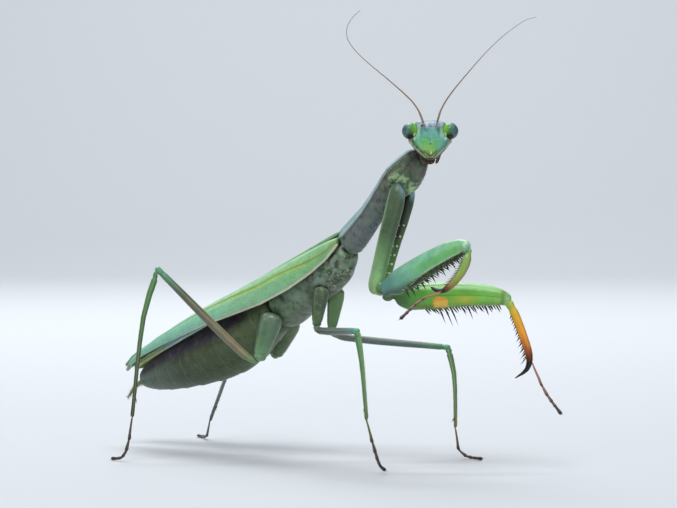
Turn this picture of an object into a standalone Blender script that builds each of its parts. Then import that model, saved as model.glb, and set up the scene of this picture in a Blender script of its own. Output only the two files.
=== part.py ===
"""A praying mantis: a green adult female that stands on four legs with her grasping legs raised, life size.

Lengths here are in millimetres, and solid() turns them into metres. She heads along +X, her left is +Y and
the floor is z = 0. Places are first counted from the point of the floor below her middle coxae; the last
step slides the whole animal so that the middle of her box stands on the origin.

The trunk is lofted along a tilted axis of its own, with u forward, v to the left and w up out of her back.
Every limb is a tube along a smooth path. A limb starts inside the one that carries it and is cut back to a
hair's breadth from it, so that joints look closed while each piece stays a solid of its own.
"""

import math

import bmesh
import bpy
from mathutils import Matrix, Vector

MM = 0.001
GAP = 0.06
AHEAD = Vector((1.0, 0.0, 0.0))
LEFT = Vector((0.0, 1.0, 0.0))
UP = Vector((0.0, 0.0, 1.0))
SIDES = {"left": 1, "right": -1}

# Trunk
BODY_PITCH = 25.2
BODY_HEIGHT = 23.15
PROTHORAX_REAR = Vector((2.9, -0.3, 29.44))
PROTHORAX_FRONT = Vector((17.1, -3.0, 41.37))
ABDOMEN_FRONT = -8.2
ABDOMEN_REAR = -36.6
TEGMEN_FRONT = 5.2
TEGMEN_REAR = -38.5
WING_THICKNESS = 0.5
CERCUS_DROOPS = {"left": -0.3, "right": 1.6}

# Head
HEAD_CENTRE = Vector((18.95, -3.7, 44.17))
HEAD_HEADING = -55.0
HEAD_PITCH = 2.3
EYE_SPREAD = 2.60
EYE_HALF_AXES = (1.07, 1.15, 1.42)
FEELER_RADIUS = 0.26

# Legs. Each row of joints is the coxa's root, the trochanter, the knee and, on a walking leg, the ankle.
LEG_JOINTS = {
    "fore_right": ((13.9, -3.6, 37.4), (11.9, -6.35, 23.39), (25.75, -5.6, 29.31)),
    "fore_left": ((12.7, 0.45, 37.4), (9.8, -2.35, 23.05), (24.3, 6.0, 22.16)),
    "mid_right": ((-0.1, -2.0, 23.5), (0.3, -3.5, 18.46), (13.2, -11.8, 18.44), (14.0, -10.8, 6.94)),
    "mid_left": ((-0.5, 2.0, 23.4), (-2.2, 3.1, 17.4), (11.4, 11.4, 15.12), (12.3, 11.9, 4.11)),
    "hind_right": ((-7.7, -2.9, 19.82), (-8.6, -4.7, 13.59), (-19.64, -12.88, 25.75), (-20.7, -17.0, 5.92)),
    "hind_left": ((-9.2, 2.9, 18.98), (-12.3, 3.9, 13.66), (-24.1, 14.3, 20.52), (-30.2, 10.7, 2.84)),
}
TROCHANTER_LENGTH = 1.3
LONG_SPINES = {
    "right": ((0, 1.9), (1, 1.5), (4, 1.3), (7, 1.2), (10, 1.0)),
    "left": ((1, 1.5), (2, 1.9), (3, 1.8), (6, 1.3), (9, 1.0)),
}
SHIN_BOWS = {"mid": 0.5, "hind": 0.95}
FORE_FEMUR_ROLLS = {"right": 22.0, "left": 8.0}
FORE_TIBIA_PATHS = {
    "right": ((26.25, -5.65, 28.65), (26.1, -6.1, 27.04), (25.35, -6.75, 25.34), (24.0, -7.55, 23.84)),
    "left": ((24.5, 6.1, 21.96), (25.3, 6.4, 20.55), (26.6, 6.8, 17.24), (27.4, 6.95, 14.63)),
}
CLAW_TIPS = {
    "right": ((23.1, -8.1, 23.75), (22.1, -8.5, 24.45)),
    "left": ((27.3, 6.5, 13.12), (26.1, 5.4, 11.91)),
}
# The lengths of a foot's joints, as shares of the foot, from the ankle on.
FOOT_JOINTS = (0.42, 0.19, 0.13, 0.10, 0.16)
FORE_FOOT_RADIUS = 0.27
WALKING_FOOT_RADIUS = 0.28
FOOT_PATHS = {
    "fore_right": ((24.0, -7.55, 23.84), (23.6, -8.5, 23.33), (22.3, -10.2, 22.71), (20.6, -13.0, 20.07)),
    "fore_left": ((27.4, 6.95, 14.63), (28.3, 7.0, 13.01), (29.7, 7.0, 10.39), (32.3, 7.4, 7.1)),
    "mid_right": ((14.0, -10.8, 6.94), (14.8, -10.2, 3.24), (15.4, -9.7, 1.0), (16.2, -9.2, 0.25)),
    "mid_left": ((12.3, 11.9, 4.11), (12.7, 11.95, 1.5), (13.9, 11.9, 0.5), (17.2, 11.6, 0.25)),
    "hind_right": ((-20.7, -17.0, 5.92), (-20.9, -17.7, 2.1), (-21.4, -18.2, 0.6), (-23.6, -18.3, 0.25)),
    "hind_left": ((-30.2, 10.7, 2.84), (-31.2, 11.3, 0.75), (-32.8, 12.4, 0.35), (-35.0, 13.6, 0.25)),
}

# Colours: the record and the scene set the final looks.
GREEN = (0.20, 0.42, 0.10)
DARK_GREEN = (0.08, 0.16, 0.07)
BLUE_GREEN = (0.16, 0.36, 0.22)
EYE_GREEN = (0.14, 0.42, 0.20)
WING_GREEN = (0.25, 0.50, 0.20)
WING_GREY = (0.30, 0.42, 0.36)
ORANGE = (0.60, 0.25, 0.05)
BROWN = (0.22, 0.13, 0.08)


def clear_scene():
    for thing in list(bpy.data.objects):
        bpy.data.objects.remove(thing, do_unlink=True)


def heading(yaw, pitch=0.0):
    """The unit vector at this compass angle, counted from +X towards +Y, and this height angle, in degrees."""
    yaw = math.radians(yaw)
    pitch = math.radians(pitch)
    return Vector((math.cos(yaw) * math.cos(pitch), math.sin(yaw) * math.cos(pitch), math.sin(pitch)))


def along(rows, place):
    """The values of a profile at this place, on a smooth curve through its rows (place, value, value...)."""
    after = 1
    while after < len(rows) - 1 and rows[after][0] < place:
        after += 1
    low, high = rows[after - 1], rows[after]
    before, beyond = rows[max(after - 2, 0)], rows[min(after + 1, len(rows) - 1)]
    span = high[0] - low[0]
    f = min(max((place - low[0]) / span, 0.0), 1.0)
    values = []
    for a, b, c, d in zip(before[1:], low[1:], high[1:], beyond[1:]):
        slope_low = (c - a) / (high[0] - before[0]) * span
        slope_high = (d - b) / (beyond[0] - low[0]) * span
        values.append(
            b * (1 + 2 * f) * (1 - f) ** 2
            + slope_low * f * (1 - f) ** 2
            + c * f * f * (3 - 2 * f)
            + slope_high * f * f * (f - 1)
        )
    return values


def smooth_path(points):
    """Rows for along(), one for each point, placed by the length of the line up to it."""
    points = [Vector(point) for point in points]
    reached = [0.0]
    for start, end in zip(points, points[1:]):
        reached.append(reached[-1] + (end - start).length)
    return [(length / reached[-1], *point) for length, point in zip(reached, points)]


def spaced(count, ends=0.5):
    """Places from 0 to 1, closer together near both ends as ends goes from 0 to 1."""
    even = [k / (count - 1) for k in range(count)]
    return [(1 - ends) * t + ends * (0.5 - 0.5 * math.cos(math.pi * t)) for t in even]


def ring(centre, side, up, half_width, rise, drop, count, squareness=1.0):
    """A closed outline: half_width to each side, rise towards up and drop away from it."""
    points = []
    for k in range(count):
        angle = 2 * math.pi * k / count
        across = math.copysign(abs(math.cos(angle)) ** squareness, math.cos(angle))
        high = math.copysign(abs(math.sin(angle)) ** squareness, math.sin(angle))
        points.append(centre + side * half_width * across + up * (rise if high > 0 else drop) * high)
    return points


def solid(name, rings, colour, spines=()):
    """One closed object through these rings. Each spine is (ring, step round it, tip, width kept at its foot)."""
    mesh = bpy.data.meshes.new(name)
    bm = bmesh.new()
    loops = [[bm.verts.new(point * MM) for point in points] for points in rings]
    faces = {}
    for r, (lower, upper) in enumerate(zip(loops, loops[1:])):
        for k in range(len(lower)):
            after = (k + 1) % len(lower)
            faces[r, k] = bm.faces.new((lower[k], lower[after], upper[after], upper[k]))
    bm.faces.new(loops[0][::-1])
    bm.faces.new(loops[-1])
    for r, k, tip, kept in spines:
        grow_spine(bm, faces[r, k % len(rings[0])], tip, kept)
    bmesh.ops.recalc_face_normals(bm, faces=bm.faces)
    bm.to_mesh(mesh)
    bm.free()
    mesh.shade_smooth()
    mesh.set_sharp_from_angle(angle=math.radians(50))
    thing = bpy.data.objects.new(name, mesh)
    bpy.context.scene.collection.objects.link(thing)
    mesh.materials.append(finish(name, colour))
    return thing


def grow_spine(bm, face, tip, kept):
    """Draws a pointed spine out of the middle of a face."""
    foot = face.calc_center_median()
    corners = bmesh.ops.extrude_discrete_faces(bm, faces=[face])["faces"][0]
    for vert in corners.verts:
        vert.co = foot + (vert.co - foot) * kept
    point = bmesh.ops.poke(bm, faces=[corners])["verts"][0]
    point.co = tip * MM


def finish(name, colour):
    material = bpy.data.materials.new(name)
    material.use_nodes = True
    shader = material.node_tree.nodes["Principled BSDF"]
    shader.inputs["Base Color"].default_value = (*colour, 1.0)
    shader.inputs["Roughness"].default_value = 0.45
    shader.inputs["Metallic"].default_value = 0.0
    return material


def tube_rings(points, profile, up, count, places, squareness=1.0):
    """Rings along a smooth path. The profile's rows are (place, half width, rise, drop)."""
    path = smooth_path(points)
    rings = []
    for place in places:
        centre = Vector(along(path, place))
        step = 0.01
        tangent = Vector(along(path, min(place + step, 1.0))) - Vector(along(path, max(place - step, 0.0)))
        side = up.cross(tangent).normalized()
        rise_way = tangent.cross(side).normalized()
        half_width, rise, drop = along(profile, place)
        rings.append(ring(centre, side, rise_way, half_width, rise, drop, count, squareness))
    return rings


def round_profile(rows):
    return [(place, radius, radius, radius) for place, radius in rows]


def swollen(thing, gap=GAP):
    """A hidden copy of a piece, larger all round by the gap, to cut its neighbours with."""
    mesh = thing.data.copy()
    normals = [vert.normal.copy() for vert in mesh.vertices]
    for vert, normal in zip(mesh.vertices, normals):
        vert.co += normal * gap * MM
    copy = bpy.data.objects.new(thing.name + ".cutter", mesh)
    bpy.context.scene.collection.objects.link(copy)
    copy.hide_render = True
    copy.display_type = "WIRE"
    return copy


def make_room(thing, *others, gap=GAP):
    """Cuts a piece back wherever it comes closer than the gap to the others."""
    for other in others:
        cut = thing.modifiers.new("Room for " + other.name, "BOOLEAN")
        cut.operation = "DIFFERENCE"
        cut.solver = "EXACT"
        cut.object = swollen(other, gap)


# --- trunk ---------------------------------------------------------------------------------------------------

FORWARD = heading(0.0, BODY_PITCH)
BACK_UP = FORWARD.cross(LEFT)


def in_body(u, v, w):
    return Vector((0.0, 0.0, BODY_HEIGHT)) + FORWARD * u + LEFT * v + BACK_UP * w


def trunk_piece(name, rows, count, steps, colour, squareness, ends=0.5):
    """A length of the trunk. Its rows are (u, half width, w of the back, w of the belly)."""
    rings = []
    for place in spaced(steps, ends):
        u = rows[0][0] + (rows[-1][0] - rows[0][0]) * place
        half_width, back, belly = along(rows, u)
        middle = (back + belly) / 2
        half_height = (back - belly) / 2
        rings.append(ring(in_body(u, 0, middle), LEFT, BACK_UP, half_width, half_height, half_height,
                          count, squareness))
    return solid(name, rings, colour)


def make_prothorax():
    """The long neck-like shield, widest where the grasping legs hang from it."""
    axis = PROTHORAX_FRONT - PROTHORAX_REAR
    side = UP.cross(axis).normalized()
    rise_way = axis.cross(side).normalized()
    profile = (
        (0.00, 1.55, 1.45, 2.30),
        (0.03, 1.85, 1.80, 2.75),
        (0.12, 1.90, 1.74, 2.80),
        (0.35, 1.68, 1.60, 2.20),
        (0.58, 1.98, 2.02, 1.90),
        (0.74, 2.66, 2.14, 2.90),
        (0.88, 2.14, 2.05, 2.75),
        (0.97, 1.60, 1.70, 1.95),
        (1.00, 1.10, 1.25, 1.30),
    )
    rings = []
    for place in (0.0, 0.03, 0.1, 0.2, 0.33, 0.46, 0.58, 0.67, 0.74, 0.81, 0.89, 0.96, 1.0):
        half_width, rise, drop = along(profile, place)
        centre = PROTHORAX_REAR + axis * place
        outline = ring(centre, side, rise_way, half_width, rise, drop, 14, 0.85)
        # The shield overhangs the softer underside, so the lower half is drawn in from its edge.
        for k in range(8, 14):
            outline[k] -= side * (outline[k] - centre).dot(side) * 0.2
        rings.append(outline)
    return solid("prothorax", rings, BLUE_GREEN)


def make_pterothorax():
    rows = (
        (-9.4, 2.9, 4.0, -1.6),
        (-8.0, 3.1, 4.25, -2.4),
        (-4.5, 3.1, 4.4, -1.7),
        (0.0, 3.0, 4.9, -1.1),
        (3.2, 2.4, 4.9, 0.3),
        (5.2, 2.0, 5.2, 1.7),
        (6.0, 1.5, 5.3, 2.6),
    )
    return trunk_piece("pterothorax", rows, 14, 8, GREEN, 0.8, ends=0.3)


def make_abdomen():
    rows = (
        (ABDOMEN_REAR, 0.7, 2.7, 0.9),
        (-35.9, 1.35, 3.2, 0.2),
        (-34.0, 2.1, 3.7, -0.7),
        (-31.5, 2.9, 4.1, -1.8),
        (-28.0, 3.8, 4.4, -2.8),
        (-23.5, 4.4, 4.35, -3.9),
        (-19.0, 4.4, 4.4, -4.5),
        (-14.5, 4.0, 4.4, -3.9),
        (-11.0, 3.4, 4.4, -2.9),
        (ABDOMEN_FRONT, 2.6, 3.8, -1.6),
    )
    return trunk_piece("abdomen", rows, 14, 12, DARK_GREEN, 0.92, ends=0.4)


def make_cercus(side_name):
    """One of the two jointed feelers at the tail."""
    s = SIDES[side_name]
    droop = CERCUS_DROOPS[side_name]
    points = [in_body(-35.3, 0.9 * s, 1.7), in_body(-37.0, 1.5 * s, 1.7 - droop * 0.4),
              in_body(-38.7, 1.8 * s, 1.7 - droop)]
    profile = round_profile(((0.0, 0.30), (0.1, 0.36), (0.5, 0.36), (0.9, 0.27), (1.0, 0.25)))
    return solid("cercus_" + side_name, tube_rings(points, profile, UP, 6, spaced(7)), DARK_GREEN)


# Each wing row is (u, half width, w of the roof, w of the lower edge).
TEGMEN_ROWS = (
    (TEGMEN_REAR, 0.40, 5.15, 4.80),
    (-37.7, 1.20, 5.50, 4.55),
    (-35.6, 2.30, 5.78, 4.50),
    (-31.0, 3.45, 6.10, 4.35),
    (-26.0, 4.25, 6.30, 3.85),
    (-20.0, 4.75, 6.35, 3.40),
    (-13.0, 4.80, 6.35, 2.45),
    (-7.0, 4.60, 6.35, 1.85),
    (-1.5, 3.95, 6.40, 2.25),
    (2.5, 3.35, 6.40, 3.05),
    (4.5, 2.75, 6.40, 4.05),
    (TEGMEN_FRONT, 2.20, 6.35, 4.80),
)
HINDWING_ROWS = (
    (-36.9, 0.40, 4.30, 3.90),
    (-35.3, 1.55, 4.58, 3.70),
    (-31.0, 2.80, 4.92, 3.55),
    (-24.0, 3.65, 5.12, 3.40),
    (-13.0, 3.90, 5.15, 3.30),
    (-8.0, 3.80, 5.12, 3.30),
    (-5.0, 3.60, 5.10, 3.40),
)


def wing(name, side_name, rows, inner, raised, facets, steps, colour):
    """A bent plate: flat over the back from the v of its inner edge, then rolled down to its lower edge."""
    loops = []
    for place in spaced(steps, 0.6):
        u = rows[0][0] + (rows[-1][0] - rows[0][0]) * place
        half_width, roof, edge = along(rows, u)
        start = max(inner, -0.6 * half_width)
        top, bottom = [], []
        for k in range(facets + 1):
            t = k / facets
            v = start + (half_width - start) * math.sin(t * math.pi / 2)
            fall = max(v, 0.0) / half_width
            w = edge + (roof - edge) * max(1 - fall ** 2.6, 0.0) ** (1 / 1.7)
            lift = raised * (1 - min(max((v - 1.1) / 1.6, 0.0), 1.0))
            inward = Vector((v * 0.35, 0.0, 1.0)).normalized() if v > 0 else Vector((0.0, 0.0, 1.0))
            top.append((v, w + lift))
            depth = WING_THICKNESS * (1 - 0.45 * fall ** 4)
            bottom.append((v - inward.x * WING_THICKNESS * fall, w + lift - depth))
        outline = top + bottom[::-1]
        loops.append([in_body(u, v * SIDES[side_name], w) for v, w in outline])
    return solid(name, loops, colour)


def make_tegmen(side_name):
    """A leathery fore wing. The left one lies on the right one along the middle of the back."""
    raised = 0.0 if side_name == "left" else -0.6
    return wing("tegmen_" + side_name, side_name, TEGMEN_ROWS, -0.7, raised, 7, 12, WING_GREEN)


def make_hindwing(side_name):
    """A folded hind wing, which shows as a pale strip below the fore wing."""
    return wing("hindwing_" + side_name, side_name, HINDWING_ROWS, 0.12, 0.0, 4, 8, WING_GREY)


# --- head ----------------------------------------------------------------------------------------------------

FACE = heading(HEAD_HEADING, HEAD_PITCH)
HEAD_LEFT = UP.cross(FACE).normalized()
HEAD_UP = FACE.cross(HEAD_LEFT)


def in_head(left, up, front):
    return HEAD_CENTRE + HEAD_LEFT * left + HEAD_UP * up + FACE * front


def make_head():
    """The triangular capsule, with the shield of the brow, the clypeus and the lip as one piece."""
    rows = (
        (1.40, 1.25, 0.25, 0.75),
        (1.28, 1.95, 0.55, 1.05),
        (0.80, 2.50, 0.90, 1.30),
        (-0.50, 3.05, 1.18, 1.42),
        (-1.20, 3.36, 1.15, 1.30),
        (-1.78, 2.95, 1.10, 1.15),
        (-2.45, 2.30, 1.02, 0.85),
        (-3.05, 1.64, 0.88, 0.52),
        (-3.55, 0.98, 0.62, 0.25),
        (-3.80, 0.45, 0.35, 0.10),
    )
    rings = [
        ring(in_head(0, height, 0), HEAD_LEFT, FACE, half_width, front, back, 16, 0.85)
        for height, half_width, front, back in rows
    ]
    return solid("head", rings, GREEN)


def make_eye(side_name):
    """A bulging compound eye, an upright ellipsoid."""
    half_width, half_height, half_depth = EYE_HALF_AXES
    centre = in_head(EYE_SPREAD * SIDES[side_name], 0.0, 0.05)
    rings = []
    steps = 7
    for k in range(steps + 1):
        angle = math.pi * (0.05 + 0.9 * k / steps)
        size = math.sin(angle)
        middle = centre + HEAD_UP * half_height * math.cos(angle)
        rings.append(ring(middle, HEAD_LEFT, FACE, half_width * size, half_depth * size, half_depth * size, 12))
    return solid("eye_" + side_name, rings, EYE_GREEN)


def make_antenna(side_name):
    """A bristle-like feeler, curved as she holds it."""
    if side_name == "left":
        points = ((0.8, 0.75, 1.35), (1.7, 3.3, 1.9), (4.9, 7.4, 2.6), (8.6, 11.35, 3.0),
                  (12.1, 14.0, 3.2), (13.6, 14.4, 3.2))
    else:
        points = ((-0.8, 0.75, 1.35), (-1.8, 3.1, 1.9), (-4.5, 5.7, 2.4), (-9.3, 9.8, 3.0),
                  (-10.85, 12.1, 3.2), (-10.3, 14.0, 3.3), (-8.95, 15.3, 3.3))
    points = [in_head(*point) for point in points]
    profile = round_profile(((0.0, 0.22), (0.02, 0.3), (0.06, 0.3), (0.1, FEELER_RADIUS), (1.0, FEELER_RADIUS)))
    places = (0.0, 0.02, 0.06, 0.1, *[0.1 + 0.9 * k / 12 for k in range(1, 13)])
    return solid("antenna_" + side_name, tube_rings(points, profile, FACE, 6, places), BROWN)


def make_mouthparts():
    """The jaws and lower lip behind the upper lip."""
    rows = ((-2.6, 0.5, 0.1, 0.55), (-2.9, 0.85, 0.1, 0.75), (-3.6, 0.8, 0.2, 0.6), (-4.15, 0.6, 0.3, 0.25),
            (-4.3, 0.3, 0.15, 0.1))
    rings = [
        ring(in_head(0, height, -0.15), HEAD_LEFT, FACE, half_width, front, back, 12, 0.9)
        for height, half_width, front, back in rows
    ]
    return solid("mouthparts", rings, BROWN)


def make_palp(side_name):
    """One of the jointed feelers beside the mouth."""
    s = SIDES[side_name]
    points = [in_head(1.22 * s, -3.05, -0.8), in_head(0.98 * s, -3.7, -0.5), in_head(0.74 * s, -4.2, -0.1)]
    profile = round_profile(((0.0, 0.22), (0.3, 0.25), (0.9, 0.24), (1.0, 0.17)))
    return solid("palp_" + side_name, tube_rings(points, profile, FACE, 6, spaced(6)), BROWN)


def make_neck():
    start = PROTHORAX_FRONT
    end = in_head(0, -0.75, -0.9)
    middle = (start + end) / 2 + (PROTHORAX_FRONT - PROTHORAX_REAR).normalized() * 0.35
    profile = round_profile(((0.0, 0.95), (0.5, 1.05), (1.0, 0.9)))
    return solid("neck", tube_rings((start, middle, end), profile, LEFT, 10, spaced(5)), GREEN)


# --- legs ----------------------------------------------------------------------------------------------------


def limb(name, points, profile, up, colour, count=8, steps=9, squareness=1.0, ends=0.6):
    return solid(name, tube_rings(points, profile, up, count, spaced(steps, ends), squareness), colour)


def make_fore_coxa(side_name):
    root, trochanter = (Vector(point) for point in LEG_JOINTS["fore_" + side_name][:2])
    profile = (
        (0.00, 0.55, 0.60, 0.60),
        (0.03, 0.85, 1.05, 0.95),
        (0.12, 1.00, 1.45, 1.25),
        (0.25, 1.00, 1.55, 1.25),
        (0.55, 0.95, 1.20, 1.20),
        (0.85, 0.90, 1.12, 1.12),
        (0.96, 0.88, 1.05, 1.05),
        (1.00, 0.50, 0.60, 0.60),
    )
    end = trochanter + (trochanter - root).normalized() * 0.45
    return limb("fore_coxa_" + side_name, (root, end), profile, AHEAD, GREEN, 8, 9, 0.85)


def make_fore_trochanter(side_name):
    """The small knuckle between the coxa and the femur."""
    _, trochanter, knee = (Vector(point) for point in LEG_JOINTS["fore_" + side_name])
    way = (knee - trochanter).normalized()
    down = way.cross(LEFT).normalized()
    end = trochanter + way * 1.9 + down * 0.35
    profile = ((0.0, 0.6, 0.7, 0.7), (0.3, 0.9, 1.0, 1.25), (0.75, 0.9, 1.15, 1.45), (1.0, 0.5, 0.7, 0.9))
    return limb("fore_trochanter_" + side_name, (trochanter, end), profile, UP, GREEN, 10, 6)


def femur_dorsal(side_name):
    """Which way the back of a grasping femur faces: the right one is rolled so that its spines show."""
    _, trochanter, knee = (Vector(point) for point in LEG_JOINTS["fore_" + side_name])
    way = (knee - trochanter).normalized()
    level = UP.cross(way).normalized()
    return Matrix.Rotation(math.radians(-FORE_FEMUR_ROLLS[side_name]), 3, way) @ way.cross(level)


def make_fore_femur(side_name):
    """The thick grasping femur. A double row of spines runs under it, with the longest near its root."""
    _, trochanter, knee = (Vector(point) for point in LEG_JOINTS["fore_" + side_name])
    way = (knee - trochanter).normalized()
    dorsal = femur_dorsal(side_name)
    start = trochanter + way * 1.0
    end = knee + way * 0.75
    profile = (
        (0.00, 0.60, 0.80, 1.15),
        (0.04, 0.95, 1.15, 1.85),
        (0.16, 1.15, 1.45, 2.40),
        (0.32, 1.20, 1.85, 2.45),
        (0.45, 1.15, 2.08, 2.15),
        (0.62, 1.05, 2.20, 1.65),
        (0.77, 0.95, 2.10, 1.30),
        (0.90, 0.85, 1.62, 1.05),
        (0.97, 0.70, 1.05, 0.85),
        (1.00, 0.40, 0.50, 0.45),
    )
    inner_spines = 11
    first, last = (0.24, 0.86) if side_name == "right" else (0.37, 0.86)
    places = [0.0, 0.02, 0.06, 0.11, 0.17]
    places += [first + (last - first) * k / inner_spines for k in range(inner_spines + 1)]
    places += [0.91, 0.95, 0.98, 1.0]
    rings = tube_rings((start, end), profile, dorsal, 8, places, 0.9)
    inner, outer = (6, 5) if side_name == "right" else (5, 6)
    spines = []
    for k in range(inner_spines):
        foot = (rings[5 + k][inner] + rings[6 + k][inner]) / 2
        length = 1.15 if k % 2 else 0.7
        spines.append((5 + k, inner, foot + (way * 0.6 - dorsal) * length, 0.42))
    for k, length in LONG_SPINES[side_name]:
        foot = (rings[5 + k][outer] + rings[6 + k][outer]) / 2
        spines.append((5 + k, outer, foot + (way * 0.65 - dorsal) * length, 0.5))
    return solid("fore_femur_" + side_name, rings, GREEN, spines)


def make_fore_tibia(side_name):
    """The blade that closes against the femur: a comb of spines under it and a long hooked claw."""
    points = [Vector(point) for point in FORE_TIBIA_PATHS[side_name] + CLAW_TIPS[side_name]]
    _, trochanter, knee = (Vector(point) for point in LEG_JOINTS["fore_" + side_name])
    inward = (trochanter - knee).normalized()
    profile = (
        (0.00, 0.30, 0.40, 0.40),
        (0.06, 0.52, 0.62, 0.62),
        (0.30, 0.50, 0.62, 0.62),
        (0.62, 0.45, 0.55, 0.55),
        (0.76, 0.36, 0.42, 0.42),
        (0.88, 0.20, 0.26, 0.26),
        (1.00, 0.05, 0.06, 0.06),
    )
    teeth = 9
    first, last = 0.14, 0.72
    places = [0.0, 0.02, 0.06]
    places += [first + (last - first) * k / teeth for k in range(teeth + 1)]
    places += [0.77, 0.83, 0.89, 0.95, 1.0]
    rings = tube_rings(points, profile, -inward, 8, places)
    spines = []
    path = smooth_path(points)
    for k in range(teeth):
        r = 3 + k
        place = places[r]
        centre = Vector(along(path, place + 0.03))
        on = Vector(along(path, place + 0.08)) - Vector(along(path, place))
        aim = (inward + on.normalized() * 0.9).normalized()
        length = 0.95 + 0.75 * (k + 1) / teeth
        spines.append((r, 5, centre + aim * length - across(rings[r]) * 0.25, 0.45))
        if k % 2 == 0:
            spines.append((r, 6, centre + aim * length * 0.8 + across(rings[r]) * 0.25, 0.4))
    return solid("fore_tibia_" + side_name, rings, ORANGE, spines)


def across(points):
    """The unit vector from the far side of a ring to its first point."""
    return (points[0] - points[len(points) // 2]).normalized()


def make_foot(leg, radius, up):
    """Five joints in a row, each a little wider at its far end. Where it lies on the floor its sole is flat."""
    kind, side_name = leg.split("_")
    start = 0.0
    rows = [(start, radius * 0.8)]
    for share in FOOT_JOINTS:
        rows.append((start + share * 0.85, radius * 1.15))
        start = min(start + share, 1.0)
        rows.append((start, radius * 0.9))
    rings = tube_rings(FOOT_PATHS[leg], round_profile(rows), up, 6, [row[0] for row in rows])
    for points in rings:
        for point in points:
            point.z = max(point.z, 0.0)
    return solid(f"{kind}_tarsus_{side_name}", rings, BROWN)


def make_walking_coxa(leg, size):
    kind, side_name = leg.split("_")
    root, trochanter = (Vector(point) for point in LEG_JOINTS[leg][:2])
    end = trochanter + (trochanter - root).normalized() * 0.3
    profile = (
        (0.00, 0.6 * size, 0.6 * size, 0.6 * size),
        (0.06, 0.9 * size, 1.2 * size, 1.1 * size),
        (0.25, size, 1.3 * size, 1.15 * size),
        (0.70, 0.78 * size, 0.85 * size, 0.85 * size),
        (0.93, 0.66 * size, 0.62 * size, 0.62 * size),
        (1.00, 0.40 * size, 0.40 * size, 0.40 * size),
    )
    return limb(f"{kind}_coxa_{side_name}", (root, end), profile, FORWARD, GREEN, 8, 8)


def make_walking_femur(leg, thick, thin):
    """The trochanter and the femur in one, as they are grown together."""
    kind, side_name = leg.split("_")
    root, joint, knee, _ = (Vector(point) for point in LEG_JOINTS[leg])
    turn = (joint - root).normalized() * 0.6 + (knee - joint).normalized() * 0.8
    trochanter = joint + turn.normalized() * TROCHANTER_LENGTH
    way = (knee - trochanter).normalized()
    profile = round_profile(
        (
            (0.00, 0.40),
            (0.03, 0.60),
            (0.08, 0.62),
            (0.13, thick * 0.9),
            (0.30, thick),
            (0.70, (thick + thin) / 2),
            (0.93, thin),
            (0.97, thin * 1.15),
            (1.00, thin * 0.7),
        )
    )
    end = knee + way * thin * 0.8
    return limb(f"{kind}_femur_{side_name}", (joint, trochanter, end), profile, UP, GREEN, 8, 12, ends=0.75)


def make_walking_tibia(leg, radius):
    kind, side_name = leg.split("_")
    _, trochanter, knee, ankle = (Vector(point) for point in LEG_JOINTS[leg])
    outward = (knee - trochanter).normalized()
    middle = knee.lerp(ankle, 0.35) + outward * SHIN_BOWS[kind]
    profile = round_profile(
        ((0.0, radius), (0.04, radius * 1.45), (0.12, radius * 1.3), (0.5, radius), (0.93, radius * 0.85),
         (0.98, radius * 1.0), (1.0, radius * 0.8))
    )
    places = spaced(9, 0.7)
    rings = tube_rings((knee, middle, ankle), profile, outward, 6, places)
    down = (ankle - knee).normalized()
    spines = []
    for k in (3, 4):
        foot = (rings[-3][k] + rings[-2][k + 1]) / 2
        tip = foot + down * 0.9 - outward * 0.5 + across(rings[0]) * (3.5 - k)
        spines.append((len(rings) - 3, k, tip, 0.6))
    return solid(f"{kind}_tibia_{side_name}", rings, GREEN, spines)


def make_fore_leg(side_name):
    coxa = make_fore_coxa(side_name)
    trochanter = make_fore_trochanter(side_name)
    femur = make_fore_femur(side_name)
    tibia = make_fore_tibia(side_name)
    foot = make_foot("fore_" + side_name, FORE_FOOT_RADIUS, LEFT)
    make_room(trochanter, coxa)
    make_room(femur, trochanter, coxa)
    make_room(tibia, femur)
    make_room(foot, tibia)
    return coxa


def make_walking_leg(leg, coxa_size, thick, thin, shin):
    coxa = make_walking_coxa(leg, coxa_size)
    femur = make_walking_femur(leg, thick, thin)
    tibia = make_walking_tibia(leg, shin)
    foot = make_foot(leg, WALKING_FOOT_RADIUS, UP + LEFT * 0.3)
    make_room(femur, coxa)
    make_room(tibia, femur)
    make_room(foot, tibia)
    return coxa


def stand_on_origin():
    """Slides every piece so that the middle of the animal's box is above the origin."""
    bpy.context.view_layer.update()
    corners = [thing.matrix_world @ vert.co for thing in bpy.data.objects if not thing.hide_render
               for vert in thing.data.vertices]
    low = [min(corner[axis] for corner in corners) for axis in range(3)]
    high = [max(corner[axis] for corner in corners) for axis in range(3)]
    slide = Vector((-(low[0] + high[0]) / 2, -(low[1] + high[1]) / 2, 0.0))
    for mesh in {thing.data for thing in bpy.data.objects}:
        mesh.transform(Matrix.Translation(slide))


def main():
    clear_scene()
    prothorax = make_prothorax()
    pterothorax = make_pterothorax()
    abdomen = make_abdomen()
    neck = make_neck()
    head = make_head()
    mouthparts = make_mouthparts()
    for side_name in SIDES:
        eye = make_eye(side_name)
        make_room(head, eye, gap=0.03)
        palp = make_palp(side_name)
        make_room(palp, head, mouthparts)
        antenna = make_antenna(side_name)
        make_room(antenna, head)
        cercus = make_cercus(side_name)
        make_room(cercus, abdomen)
        make_room(make_tegmen(side_name), prothorax)
        make_hindwing(side_name)
        fore_coxa = make_fore_leg(side_name)
        mid_coxa = make_walking_leg("mid_" + side_name, 1.05, 0.56, 0.45, 0.36)
        hind_coxa = make_walking_leg("hind_" + side_name, 1.5, 0.66, 0.49, 0.37)
        make_room(prothorax, fore_coxa)
        make_room(pterothorax, mid_coxa, hind_coxa)
        make_room(abdomen, hind_coxa)
    make_room(mouthparts, head)
    make_room(neck, head, prothorax)
    make_room(pterothorax, prothorax)
    make_room(abdomen, pterothorax)
    stand_on_origin()


main()
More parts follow.
